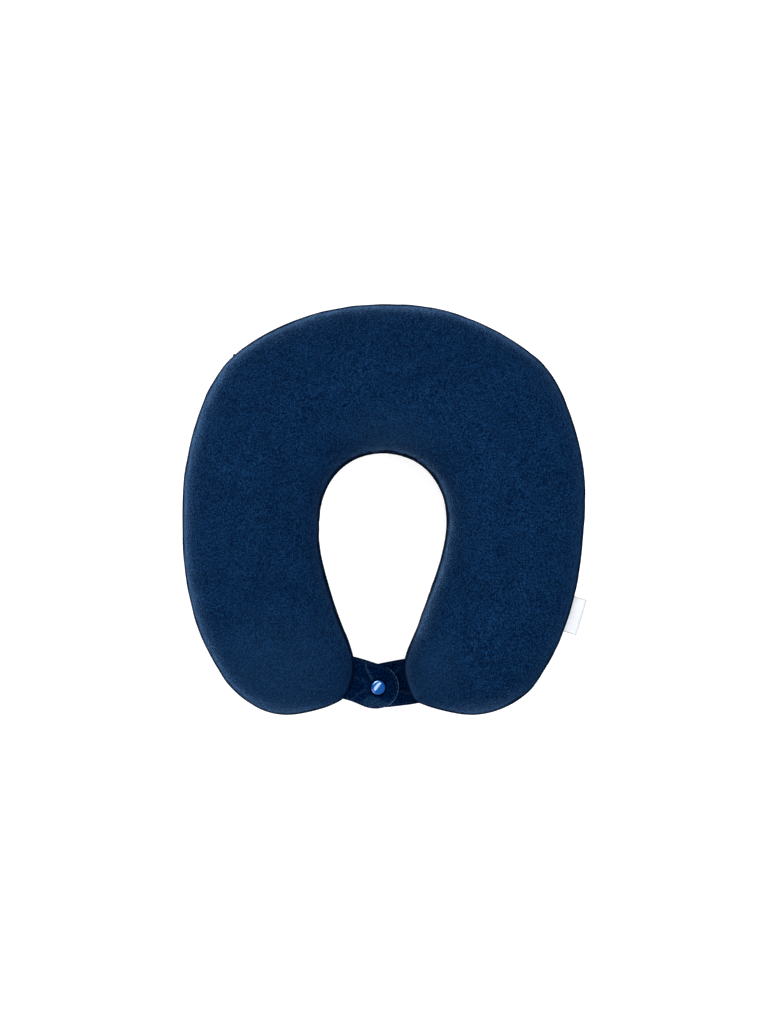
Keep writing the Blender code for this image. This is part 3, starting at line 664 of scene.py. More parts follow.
def tape_material():
    shader = new_shader("zip_tape_twill")
    twill = shader.add(
        "TexWave",
        {"Scale": 1.1, "Distortion": 0.6, "Vector": shader.local()},
        wave_type="BANDS",
        bands_direction="DIAGONAL",
    ).outputs["Fac"]
    return shader.surface({
        "Base Color": shader.ramp(
            twill, (0.0, (0.001, 0.006, 0.02)), (1.0, (0.004, 0.019, 0.055))
        ),
        "Roughness": 0.8,
        "Specular IOR Level": 0.12,
        "Normal": shader.bump(twill, strength=0.5, distance=0.0002),
    })


def coil_material():
    shader = new_shader("zip_coil_nylon")
    mottle = shader.noise(shader.local(), scale=1.5)
    return shader.surface({
        "Base Color": shader.ramp(
            mottle, (0.3, (0.003, 0.009, 0.026)), (0.7, (0.007, 0.02, 0.05))
        ),
        "Roughness": shader.remap(mottle, between=(0.3, 0.7), gives=(0.28, 0.45)),
        "Normal": shader.bump(mottle, strength=0.15, distance=0.0001),
    })


def slider_material():
    """Dark paint, worn through to bare metal in spots."""
    shader = new_shader("zip_slider_painted")
    wear = shader.noise(shader.local(), scale=1.2, detail=4.0, rough=0.6)
    paint, thin, bare = (0.006, 0.012, 0.03), (0.02, 0.03, 0.055), (0.28, 0.29, 0.31)
    return shader.surface({
        "Base Color": shader.ramp(wear, (0.55, paint), (0.72, thin), (0.8, bare)),
        "Roughness": shader.remap(wear, between=(0.3, 0.8), gives=(0.28, 0.5)),
        "Metallic": 0.7,
        "Normal": shader.bump(wear, strength=0.1, distance=0.0002),
    })


def enamel_material():
    shader = new_shader("snap_enamel_blue")
    place = shader.local()
    broad = shader.noise(place, scale=0.6, detail=3.0)
    fine = shader.noise(place, scale=6.0)
    return shader.surface({
        "Base Color": shader.ramp(
            broad, (0.3, (0.001, 0.067, 0.300)), (0.7, (0.001, 0.087, 0.355))
        ),
        "Metallic": 0.35,
        "Roughness": shader.remap(fine, between=(0.3, 0.7), gives=(0.07, 0.13)),
        "Coat Weight": 1.0,
        "Coat IOR": 1.6,
        "Coat Roughness": 0.04,
        "Normal": shader.bump(fine, strength=0.03, distance=0.0001),
    })


def nickel_material():
    shader = new_shader("snap_nickel_plate")
    tarnish = shader.noise(shader.local(), scale=1.4, detail=4.0, rough=0.6)
    return shader.surface({
        "Base Color": shader.ramp(
            tarnish, (0.3, (0.42, 0.42, 0.43)), (0.75, (0.66, 0.66, 0.67))
        ),
        "Metallic": 1.0,
        "Roughness": shader.remap(tarnish, between=(0.3, 0.8), gives=(0.18, 0.4)),
        "Normal": shader.bump(tarnish, strength=0.08, distance=0.0002),
    })


def label_material():
    """White woven satin ribbon; its grey edge lines are partly edge yarn and partly painted shade.
    Its rest place is (across, along) in mm.
    """
    shader = new_shader("label_woven_white")
    place = shader.attribute("rest", "Vector")
    parts = shader.add("SeparateXYZ", {0: place}).outputs
    yarn_pitch = {"X": 0.42, "Y": 0.36}
    ribs, warp = (
        shader.math("SINE", shader.math("MULTIPLY", parts[axis], 2 * math.pi / pitch))
        for axis, pitch in yarn_pitch.items()
    )
    mottle = shader.remap(shader.noise(place, scale=0.7, detail=3.0), between=(0.3, 0.7))
    white = shader.mix(mottle, (0.56, 0.57, 0.59), (0.62, 0.62, 0.63))
    weave = shader.math("MULTIPLY", ribs, warp)
    return shader.surface({
        "Base Color": shader.mix(shader.attribute("edge"), white, (0.27, 0.28, 0.30)),
        "Roughness": 0.62,
        "Sheen Weight": 0.3,
        "Normal": shader.bump(weave, strength=0.35, distance=0.00012),
    })


# Each velour's rim colour is a painted highlight, laid on where a mesh's 'rim' attribute is set.
VELOUR = velour_material(
    "velour_navy",
    dark=(0.0004, 0.0030, 0.0130),
    mid=(0.0014, 0.0092, 0.0305),
    light=(0.0040, 0.0225, 0.0660),
    sheen=0.86,
    rim=(0.05, 0.1, 0.19),
)
# a darker copy of the cover's velour, darker as painted shade on the tabs
TAB_VELOUR = velour_material(
    "velour_tab_navy",
    dark=(0.0000, 0.0013, 0.0085),
    mid=(0.0002, 0.0042, 0.0190),
    light=(0.0010, 0.0125, 0.0450),
    sheen=0.30,
    rim=(0.050, 0.130, 0.255),
)
FOAM = foam_material()
THREAD = thread_material()
TAPE = tape_material()
COIL = coil_material()
SLIDER = slider_material()
ENAMEL = enamel_material()
NICKEL = nickel_material()
LABEL = label_material()

# ------------------------------------------------------------------ cloth pass on the cover
CLOTH_FRAMES = 20
CLOTH_SETTINGS = {
    "quality": 6,
    "mass": 0.35,
    "air_damping": 4.0,
    "tension_stiffness": 30.0,
    "compression_stiffness": 30.0,
    "shear_stiffness": 12.0,
    "bending_stiffness": 0.8,
    "use_pressure": True,
    "uniform_pressure_force": 4.0,
    "vertex_group_mass": "held",
    "pin_stiffness": 5.0,
    "vertex_group_shrink": "spare",
    "shrink_min": 0.0,
    "shrink_max": -0.09,
}
CLOTH_INSET = 1.5  # mm
VOXEL, MOVE_CAP = 0.0045, 0.004  # metres


def cloth_cover():
    """The whole pillow as one closed, evenly remeshed skin."""
    place = mirrored(half_lines(step=6.0, tip_lines=8))
    degrees = np.tile(np.linspace(0, 180, 25), (len(place), 1))
    inset = np.full_like(degrees, CLOTH_INSET)
    form = ring_mesh("cloth_form", closed_rings(place, degrees, inset))
    bpy.context.view_layer.objects.active = form
    remesh = form.modifiers.new("remesh", "REMESH")
    remesh.mode = "VOXEL"
    remesh.voxel_size = VOXEL
    depsgraph = bpy.context.evaluated_depsgraph_get()
    mesh = bpy.data.meshes.new_from_object(form.evaluated_get(depsgraph))
    bpy.data.objects.remove(form, do_unlink=True)
    return link("cloth_cover", mesh)


def weight_cloth(cover, start):
    """Holds the seam, and gives spare cloth near it, most of all at the inside of the bend."""
    from_seam = np.abs(start[:, 2] / MM / FIT.z - SEAM_Z)
    held = cover.vertex_groups.new(name="held")
    spare = cover.vertex_groups.new(name="spare")
    bend = ease(1.0 - (np.hypot(start[:, 0], start[:, 1] * 0.8) - 0.046) / 0.035)
    weight = np.maximum(
        bend * np.clip(1.0 - from_seam / 38.0, 0.0, 1.0),
        0.35 * np.clip(1.0 - from_seam / 20.0, 0.0, 1.0),
    )
    for i in range(len(start)):
        if from_seam[i] < 2.6:
            held.add([i], 1.0, "REPLACE")
        spare.add([i], float(weight[i]), "REPLACE")


def cloth_field():
    """Runs the cover as pressurised cloth held at its seams. Returns the search trees of the
    skin before and after, which tell how far each place swells or sinks."""
    cover = cloth_cover()
    start = vertex_places(cover.data).astype(float)
    weight_cloth(cover, start)
    faces = [tuple(polygon.vertices) for polygon in cover.data.polygons]
    before = BVHTree.FromPolygons([Vector(point) for point in start], faces)
    cloth = cover.modifiers.new("cloth", "CLOTH")
    for name, value in CLOTH_SETTINGS.items():
        setattr(cloth.settings, name, value)
    cloth.settings.effector_weights.gravity = 0.0
    cloth.collision_settings.use_collision = False
    cloth.collision_settings.use_self_collision = False
    scene = bpy.context.scene
    for clock in (scene, cloth.point_cache):
        clock.frame_start, clock.frame_end = 1, CLOTH_FRAMES
    for i in range(1, CLOTH_FRAMES + 1):
        scene.frame_set(i)
    depsgraph = bpy.context.evaluated_depsgraph_get()
    move = vertex_places(cover.evaluated_get(depsgraph).data).astype(float) - start
    size = np.linalg.norm(move, axis=1)
    move *= np.where(size > MOVE_CAP, MOVE_CAP / np.maximum(size, 1e-9), 1.0)[:, None]
    after = BVHTree.FromPolygons([Vector(point) for point in start + move], faces)
    bpy.data.objects.remove(cover, do_unlink=True)
    scene.frame_set(1)
    return before, after


FIELD = cloth_field()


def cloth_swell(points, normals):
    """How far the cloth pass moved a grid of skin points outwards, evened out, in mm."""
    swell = np.zeros(points.shape[0] * points.shape[1])
    if FIELD is None:
        return swell.reshape(points.shape[:2])
    before, after = FIELD
    start_above, reach = 0.012, 0.05
    for i, (point, normal) in enumerate(zip(to_metres(points), normals.reshape(-1, 3))):
        origin, direction = Vector(point + normal * start_above), Vector(-normal)
        hit_before = before.ray_cast(origin, direction, reach)
        hit_after = after.ray_cast(origin, direction, reach)
        if hit_before[0] is not None and hit_after[0] is not None:
            swell[i] = (hit_before[3] - hit_after[3]) * 1000.0
    swell = swell.reshape(points.shape[:2])
    swell -= np.median(swell)
    for _ in range(3):
        soften(swell)
        soften(swell.T)
    return np.clip(swell, -2.2, 2.2)


# ------------------------------------------------------------------ cover panels
ARC_STEP = 2.1
ROLL = 1.35  # radius of the rolled seam edge
SHELL = 0.9  # thickness of the cloth
ROLL_STEPS = (90.0, 66.0, 44.0, 24.0, 8.0)  # round the rolled seam edge, from inside out
EDGE_GAP = 0.03
# (depth, wavelength, seed)
UNEVENNESS = ((0.45, 70.0, 3), (0.16, 22.0, 5), (0.05, 9.0, 8))
# (at the inner seam, spacing, depth, reach from the seam, half length of the gathered run)
PUCKERS = (
    (True, 8.5, 0.95, 15.0, 125.0),
    (True, 12.0, 0.5, 9.0, 310.0),
    (False, 7.0, 0.28, 5.0, 310.0),
)
HALF_PLACES = half_lines(step=2.0, tip_lines=26)
PLACES = mirrored(HALF_PLACES)
MIDDLE = len(HALF_PLACES) - 1


def arc_columns():
    """Panel columns at even steps round a typical section: share of the angle from one rolled
    edge to the other, and distance from the nearer seam."""
    count, typical_half_width = 2000, 52.0
    across, up = section(np.linspace(2.6, 177.4, count))
    run = run_along(np.stack([typical_half_width * across, TOP_RISE * up], 1))
    even = np.linspace(0, run[-1], int(run[-1] / ARC_STEP))
    return np.interp(even, run, np.linspace(0, 1, count)), np.minimum(even, run[-1] - even)


ARC_SHARE, ARC_OFF = arc_columns()


def panel_grid(top):
    """Outer surface of one panel, the angle and seam distance of its points, and for each row
    the distance to the tip and the roll's radius."""
    half_width = np.linalg.norm(at(PLACES, OUTER) - at(PLACES, INNER), axis=1) / 2
    to_tip = np.interp(PLACES, CHAIN, CHAIN_TO_TIP)
    bearing = np.interp(PLACES, CHAIN, CHAIN_BEARING)
    rise = (TOP_RISE if top else BOTTOM_DROP) * height_share(to_tip)
    slot = (ZIP_OPEN - 0.3) * zip_zone(bearing)
    roll = np.minimum(ROLL, np.minimum(0.30 * rise, 0.30 * half_width))

    def degrees_at(height):
        share = np.clip(height / np.maximum(rise, 1e-6), 0.0, 1.0)
        return np.degrees(np.arcsin(share ** (SECTION_POWER / 2.0)))

    lead = []
    for turn in np.radians(ROLL_STEPS):
        height = roll * (1.0 - math.sin(turn)) + EDGE_GAP
        lead.append((degrees_at(height), roll * (1.0 - math.cos(turn))))
    first = degrees_at(roll + EDGE_GAP)
    flat = np.zeros(len(PLACES))
    body = [(first + (180.0 - 2 * first) * share, flat) for share in ARC_SHARE]
    trail = [(180.0 - degrees, inset) for degrees, inset in reversed(lead)]
    degrees, inset = (np.stack(columns, 1) for columns in zip(*lead, *body, *trail))
    off = np.tile(np.pad(ARC_OFF, len(ROLL_STEPS)), (len(PLACES), 1))
    return skin(PLACES, degrees, inset, top, slot), degrees, off, to_tip, roll


def grid_normals(points):
    """Unit outward normals of a grid, by central differences."""
    normals = unit(np.cross(np.gradient(points, axis=0), np.gradient(points, axis=1)))
    middle = points.mean(1)
    middle[:, 2] = SEAM_Z
    return normals * np.sign(((points - middle[:, None]) * normals).sum(2).mean())


def puckers(off, degrees, seed):
    """Short gathers that run away from a seam; negative is inwards."""
    rng = np.random.default_rng(seed)
    total = np.zeros_like(off)
    nearer_inner = degrees > 90.0
    for at_inner, spacing, depth, reach, end in PUCKERS:
        x = -end + rng.uniform(0, spacing)
        while x < end:
            width = spacing * rng.uniform(0.22, 0.38)
            deep = depth * rng.uniform(0.35, 1.0)
            length = reach * rng.uniform(0.5, 1.3)
            tilt = rng.uniform(-0.25, 0.25)
            # the short run of gathers dies away at its ends
            fade = 1.0 - ease((abs(x) - 0.7 * end) / (0.3 * end)) if end < 200 else 1.0
            along = PLACES[:, None] - x - tilt * off
            fold = bell(along / width) * bell(off / length) * ease(off / 1.2 + 0.25)
            total -= np.where(nearer_inner == at_inner, fold * deep * fade, 0.0)
            x += spacing * rng.uniform(0.6, 1.4)
    return total


def close_shell(name, points, normals, thick, outer_tip, inner_tip):
    """A cloth panel of real thickness from its outer grid, whose last row is at the tip."""
    rows, columns = points.shape[:2]
    inner = points - normals * thick[:, None, None]
    vertices = [*points.reshape(-1, 3), *inner.reshape(-1, 3), outer_tip, inner_tip]
    base = rows * columns
    here = (np.arange(rows - 1)[:, None] * columns + np.arange(columns - 1)[None, :]).ravel()
    quads = np.stack([here, here + 1, here + 1 + columns, here + columns], 1)
    faces = [*quads, *(base + quads[:, ::-1])]
    for j in range(columns - 1):
        faces.append((j, base + j, base + j + 1, j + 1))
    for i in range(rows - 1):
        near, far = i * columns, (i + 1) * columns
        faces.append((near, far, base + far, base + near))
        near, far = near + columns - 1, far + columns - 1
        faces.append((near, base + near, base + far, far))
    first = (rows - 1) * columns
    last = first + columns - 1
    out_tip, in_tip = 2 * base, 2 * base + 1
    for j in range(first, last):
        faces.append((j, j + 1, out_tip))
        faces.append((base + j + 1, base + j, in_tip))
    faces.append((first, out_tip, in_tip, base + first))
    faces.append((last, base + last, in_tip, out_tip))
    return mesh_object(name, to_metres(vertices), faces, VELOUR, sharp=75)


def arm_blend(obj):
    """Bakes the object's placement into its mesh."""
    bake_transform(obj)


def cover_half(word, side, points, normals, thick):
    """One half of a panel, cut on x = 0."""
    rows = slice(MIDDLE, None, side)
    points, normals = points[rows].copy(), normals[rows].copy()
    points[0, :, 0] = 0.0
    normals[0, :, 0] = 0.0
    normals[0] = unit(normals[0])
    tip = OUTER[0] if side < 0 else OUTER[-1]
    z = SEAM_Z + (0.04 if word == "top" else -0.04)
    outer_tip = np.array([*tip, z])
    inner_tip = np.array([*(tip - heading_at(side, LAST - 1e-4) * 0.5), z])
    hand = HANDS[side]
    name = f"cover_{word}_cloth_{hand}"
    obj = close_shell(name, points, normals, thick[rows], outer_tip, inner_tip)
    keep_rest(obj)
    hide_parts(f"cover_{word}_{hand}", f"cover_{word}_back")
    arm_blend(obj)


def cover_panel(word, pucker_seed):
    top = word == "top"
    points, degrees, off, to_tip, roll = panel_grid(top)
    normals = grid_normals(points)
    move = cloth_swell(points, normals)
    for depth, wavelength, seed in UNEVENNESS:
        move += depth * wobble(points, wavelength, seed)
    move *= ease(off / 3.0)
    move += puckers(off, degrees, pucker_seed)
    move *= ease(to_tip / 14.0)[:, None]
    points = points + normals * move[..., None]
    if not top:
        points[..., 2] = np.maximum(points[..., 2], 0.02)
    normals = grid_normals(points)
    thick = SHELL * np.clip(roll / ROLL, 0.12, 1.0)
    for side in HANDS:
        cover_half(word, side, points, normals, thick)


cover_panel("top", pucker_seed=11)
cover_panel("bottom", pucker_seed=12)

# ------------------------------------------------------------------ foam core inside
FOAM_INSET, FOAM_ZIP_INSET = 2.6, 5.8  # all round, and more behind the zip
FOAM_TIP_GAP = 3.5


def foam_half(side):
    half = half_lines(step=4.0, tip_lines=12)
    place = side * half[RING - half > FOAM_TIP_GAP]
    degrees = np.tile(np.linspace(0, 180, 41), (len(place), 1))
    zone = zip_zone(np.interp(place, CHAIN, CHAIN_BEARING))[:, None]
    inset = FOAM_INSET + FOAM_ZIP_INSET * np.clip(1.0 - degrees / 19.0, 0, 1) * zone
    loop = closed_rings(place, degrees, inset)
    loop[0, :, 0] = 0.0
    hand = HANDS[side]
    obj = ring_mesh(f"foam_block_{hand}", loop, FOAM, sharp=60)
    keep_rest(obj)
    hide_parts(f"foam_core_{hand}", "foam_core_back")
    arm_blend(obj)


for hand_side in HANDS:
    foam_half(hand_side)

# ------------------------------------------------------------------ the seam's turned-in edge
FOLD_INSET, FOLD_ZIP_INSET = 1.95, 3.6  # behind the seam, and deeper behind the tape's end
FOLD_HALF_WIDTH, FOLD_HALF_HEIGHT, FOLD_ZIP_HEIGHT = 0.40, 0.42, 2.9
FOLD_STEP, FOLD_CUT = 2.2, 0.03


def seam_fold(side):
    """The turned-in edge of both panels as one soft cord: from the zip's end along the outer
    seam, round the tip and back along the inner seam. It stands tall at the zip's end."""
    place = side * np.linspace(0.0, RING, 900)
    past_zip = np.abs(np.interp(place, CHAIN, CHAIN_BEARING)) > ZIP_HALF_DEG - 1.2
    outer = at(place[past_zip], OUTER)
    line = np.vstack([outer, at(side * np.linspace(RING, FOLD_CUT, 900), INNER)[1:]])
    run = run_along(line)
    even = np.linspace(0.0, run[-1], int(run[-1] / FOLD_STEP))
    seam = interp_columns(even, run, line)
    heading = headings(seam)
    inward = np.stack([heading[:, 1], -heading[:, 0]], 1) * side
    bearing = np.abs(np.degrees(np.arctan2(seam[:, 0], seam[:, 1] - SEAM_ARC_Y)))
    on_outer = even < run_along(outer)[-1]
    zone = np.where(on_outer, zip_zone(bearing), 0.0)
    behind_tape = 1.0 - ease((bearing - ZIP_HALF_DEG - 0.3) / 1.6)
    deep = np.where(on_outer, FOLD_ZIP_INSET * behind_tape, 0.0)
    centre = seam + inward * (FOLD_INSET + deep)[:, None]
    centre[-1, 0] = side * FOLD_CUT
    level = np.zeros(len(centre))
    tall = FOLD_HALF_HEIGHT + FOLD_ZIP_HEIGHT * zone
    loop = tube(
        np.column_stack([centre, level + SEAM_Z]),
        np.column_stack([inward * FOLD_HALF_WIDTH, level]),
        np.column_stack([level, level, tall]),
        sides=10,
    )
    obj = ring_mesh(f"cover_seam_fold_{HANDS[side]}", loop, VELOUR, sharp=60)
    keep_rest(obj)
    arm_blend(obj)


for hand_side in HANDS:
    seam_fold(hand_side)

# ------------------------------------------------------------------ tabs
# A tab's own plan, in mm from the snap's centre: `reach` runs from the arm towards the nose, and
# `across` runs over its width. Heights are z. Creases are (start reach, start across, end reach,
# end across, width, height, which way it bows).
SNAP_LOW, SNAP_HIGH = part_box("snap_cap")
SNAP = np.array([(SNAP_LOW.x + SNAP_HIGH.x) / 2, (SNAP_LOW.y + SNAP_HIGH.y) / 2]) / MM
TAB_ROWS, TAB_COLUMNS = 74, 69
TAB_THICKNESS = 2.7
NOSE_LENGTH, NOSE_POWER = 20.0, 2.15
ROOT_TUCK = 3.2  # how far the root goes in behind the arm's edge
STITCH_INSET, STITCH_LENGTH, STITCH_PITCH, STITCH_RADIUS = 2.0, 2.2, 2.9, 0.21
STITCH_RINGS, STITCH_SIDES = 7, 6

UPPER_TAB = SimpleNamespace(
    word="upper", joint="upper_tab_lift", side=-1, degrees=-14.0, half_width=17.0, nose=15.5,
    flare=(0.05, -0.12), level=49.0, root_level=46.9, sag=-0.9, seed=31,
    # the fold from the top edge to the snap, then fainter wrinkles
    creases=(
        (-14.5, 16.5, -5.4, 4.4, 1.25, 1.9, 1),
        (-17.5, -13.5, -7.5, -3.2, 1.3, 0.95, -1),
        (-11.5, -15.0, -4.6, -6.6, 1.2, 0.6, 1),
        (-20.5, 3.5, -8.5, 0.8, 1.5, 0.7, -1),
    ),
)
LOWER_TAB = SimpleNamespace(
    word="lower", joint="lower_tab_drop", side=1, degrees=191.5, half_width=16.9, nose=13.0,
    flare=(-0.01, 0.07), level=41.0, root_level=43.1, sag=0.9, seed=47,
    creases=((-21.0, 12.5, -9.0, 6.0, 1.6, 0.8, 1), (-22.5, -10.0, -10.0, -6.0, 1.6, 0.9, -1)),
)


def tab_plan(tab, reach, across):
    return SNAP + reach[..., None] * tab.along + across[..., None] * tab.sideways


def cross(first, second):
    return first[..., 0] * second[..., 1] - first[..., 1] * second[..., 0]


def edge_distance(side, point, direction):
    """Distance from a point along a unit direction to the arm's edge, or None."""
    near = CHAIN * side > RING * 0.55
    line = np.vstack([INNER[near][::side], OUTER[near][::-side]])
    start, segment = line[:-1], np.diff(line, axis=0)
    spread = cross(segment, direction)
    offset = start - point
    with np.errstate(divide="ignore", invalid="ignore"):
        distance = cross(segment, offset) / spread
        share = cross(direction, offset) / spread
    hit = (np.abs(spread) > 1e-9) & (share >= 0) & (share <= 1) & (distance > 0)
    return float(distance[hit].min()) if hit.any() else None


def tab_grid(tab):
    """Reach and across of the tab's grid, rows from the root to the nose."""
    width_share = np.sin(np.linspace(-math.pi / 2, math.pi / 2, TAB_COLUMNS))
    rounding = np.clip(1.0 - np.abs(width_share) ** NOSE_POWER, 0.0, 1.0) ** (1.0 / NOSE_POWER)
    tip = tab.nose - NOSE_LENGTH + NOSE_LENGTH * rounding
    root = np.empty(TAB_COLUMNS)
    for i, share in enumerate(width_share):
        point = SNAP + tab.sideways * share * tab.half_width
        distance = edge_distance(tab.side, point, -tab.along)
        # 26 mm stands in where a column passes the arm's edge by
        root[i] = -(26.0 if distance is None else distance) - ROOT_TUCK
    root = np.convolve(np.pad(root, 4, mode="edge"), np.ones(9) / 9, "valid")
    row = 1.0 - (1.0 - np.linspace(0.0, 1.0, TAB_ROWS)) ** 1.45
    reach = root[None, :] + (tip - root)[None, :] * row[:, None]
    # the sides spread or draw in towards the arm
    flare = np.where(width_share > 0, *tab.flare)[None, :]
    spread = 1.0 + flare * ease((-3.0 - reach) / 17.0)
    return reach, (width_share * tab.half_width)[None, :] * spread


def distance_to_rim(reach, across):
    """Distance to the finished edge: the sides and the nose, but not the sewn-in root."""
    points = np.stack([reach, across], 2)
    line = np.concatenate([points[:, 0], points[-1], points[::-1, -1]])
    points = points.reshape(-1, 2)
    start, segment = line[:-1], np.diff(line, axis=0)
    length_squared = np.maximum((segment**2).sum(1), 1e-9)
    share = np.clip(((points[:, None] - start) * segment).sum(2) / length_squared, 0, 1)
    gap = start + segment * share[..., None] - points[:, None]
    return np.linalg.norm(gap, axis=2).min(1).reshape(reach.shape)


def tab_relief(tab, reach, across, from_snap):
    """Height of the tab's middle surface, and a painted highlight along each crease's ridge."""
    lift = tab.level + (tab.root_level - tab.level) * ease((-15.0 - reach) / 9.0)
    lift += tab.sag * ease((from_snap - 5.5) / 12.0) * ease((reach + 17.0) / 8.0)
    # the sides droop and the side at negative `across` curls a little further
    droop = 1.7 * (across / 17.0) ** 2 + 0.5 * np.clip(-across / 17.0, 0.0, 1.2) ** 3
    lift -= droop * ease((from_snap - 5.5) / 5.0) * ease((reach + 26.0) / 12.0)
    crease_highlight = np.zeros_like(reach)
    for reach_0, across_0, reach_1, across_1, width, height, bow in tab.creases:
        direction = np.array([reach_1 - reach_0, across_1 - across_0])
        length = np.linalg.norm(direction)
        direction /= length
        along = (reach - reach_0) * direction[0] + (across - across_0) * direction[1]
        beside = -(reach - reach_0) * direction[1] + (across - across_0) * direction[0]
        beside = beside + 0.9 * np.sin(along / length * math.pi) * bow
        body = ease((along + 1.5) / 4.0) * ease((length + 1.5 - along) / 4.0)
        valley = bell((beside - 1.9 * width) / (1.1 * width))
        lift += height * body * (bell(beside / width) - 0.55 * valley)
        crease_highlight = np.maximum(crease_highlight, 0.10 * height * body * bell(beside / (0.8 * width)))
    flat = np.stack([reach, across, np.zeros_like(reach)], 2)
    uneven = 0.16 * wobble(flat, 13.0, tab.seed) + 0.07 * wobble(flat, 6.0, tab.seed + 1)
    return lift + uneven * ease((from_snap - 5.5) / 3.0), crease_highlight


def tab_half_thickness(reach, from_rim, from_snap):
    """Rounded at the rim, pinched along the topstitch and round the snap."""
    rim = np.clip(from_rim / 1.45, 0.0, 1.0)
    half = TAB_THICKNESS / 2 * np.sqrt(np.clip(1.0 - (1.0 - rim) ** 2, 0.0, 1.0))
    half *= 1.0 + 0.14 * ease((from_rim - 1.2) / 2.5) * ease((from_snap - 6.0) / 4.0)
    half -= 0.22 * bell((from_rim - STITCH_INSET) / 0.5) * ease((reach - reach[0] - 3.0) / 2.0)
    half -= 0.42 * bell((from_snap - 5.9) / 0.9)
    return np.maximum(half, 0.0)


def tab_faces():
    """Faces of the upper and lower sheet, which share their points along the rim."""
    upper = np.arange(TAB_ROWS * TAB_COLUMNS).reshape(TAB_ROWS, TAB_COLUMNS)
    lower = upper + upper.size
    for rim in (np.s_[:, 0], np.s_[:, -1], np.s_[-1, :]):
        lower[rim] = upper[rim]
    faces = []
    for i in range(TAB_ROWS - 1):
        for j in range(TAB_COLUMNS - 1):
            near, far = slice(i, i + 2), slice(i, i + 2)
            first, second = upper[near, j], upper[far, j + 1]
            faces.append((first[0], first[1], second[1], second[0]))
            first, second = lower[near, j], lower[far, j + 1]
            faces.append((first[0], second[0], second[1], first[1]))
    for j in range(TAB_COLUMNS - 1):
        corners = (upper[0, j], upper[0, j + 1], lower[0, j + 1], lower[0, j])
        faces.append(tuple(dict.fromkeys(corners)))
    return faces


def stitch_line(reach, across, from_rim):
    """The line one stitch inset from the rim, down both sides and round the nose."""
    nose = []
    for column in np.linspace(0, TAB_COLUMNS - 1, 400):
        first = int(min(column, TAB_COLUMNS - 2))
        part = column - first
        reach_here, across_here, rim_here = (
            grid[:, first] * (1 - part) + grid[:, first + 1] * part
            for grid in (reach, across, from_rim)
        )
        inside = np.where(rim_here >= STITCH_INSET)[0]
        if len(inside) == 0:
            continue
        i = inside[-1]
        share = (rim_here[i] - STITCH_INSET) / (rim_here[i] - rim_here[i + 1])
        nose.append([
            values[i] * (1 - share) + values[i + 1] * share
            for values in (reach_here, across_here)
        ])
    start = max(reach[0, 0], reach[0, -1]) + 4.5
    first_side = np.linspace(start, nose[0][0], 60)
    last_side = np.linspace(nose[-1][0], start, 60)
    first_across = np.interp(first_side, reach[:, 0], across[:, 0] + STITCH_INSET)
    last_across = np.interp(last_side, reach[:, -1], across[:, -1] - STITCH_INSET)
    first_side = np.stack([first_side, first_across], 1)
    last_side = np.stack([last_side, last_across], 1)
    line = np.vstack([first_side[:-1], np.array(nose), last_side[1:]])
    for _ in range(6):
        soften(line)
    return line


def stitch_rings(tab, tree, flat, share, direction):
    """One thread capsule lying on the face that looks `direction` (+1 up, -1 down)."""
    sink = np.sin(math.pi * share)
    arch = 0.10 * sink - 0.12 * (1 - sink)
    heights = []
    for x, y in flat:
        origin = Vector((x, y, tab.level + 14 * direction))
        hit = tree.ray_cast(origin, Vector((0, 0, -direction)), 30)[0]
        # the tab's level stands in if the ray misses the cloth
        heights.append(tab.level if hit is None else hit.z)
    centre = np.column_stack([flat, np.array(heights) + arch * direction])
    heading = headings(centre)
    beside = unit(np.cross(heading, [0, 0, 1.0]))
    radius = STITCH_RADIUS * np.sqrt(np.maximum(1 - (2 * share - 1) ** 4, 0.08))[:, None]
    return tube(centre, radius * beside, radius * np.cross(beside, heading), STITCH_SIDES)


def topstitch(tab, line, vertices, faces):
    """Stitches on both faces that sink into the cloth at both ends."""
    run = run_along(line)
    tree = BVHTree.FromPolygons([Vector(point) for point in vertices], faces)
    share = np.linspace(0, 1, STITCH_RINGS)
    points, stitches = [], []
    x = 0.4
    while x + STITCH_LENGTH < run[-1]:
        flat = tab_plan(tab, *interp_columns(x + STITCH_LENGTH * share, run, line).T)
        for direction in (1, -1):
            stitches += capped_tube_faces(STITCH_RINGS, STITCH_SIDES, base=len(points))
            points.extend(stitch_rings(tab, tree, flat, share, direction).reshape(-1, 3))
        x += STITCH_PITCH
    name = f"tab_{tab.word}_topstitch"
    obj = mesh_object(name, to_metres(points), stitches, THREAD)
    tab_blend(obj)


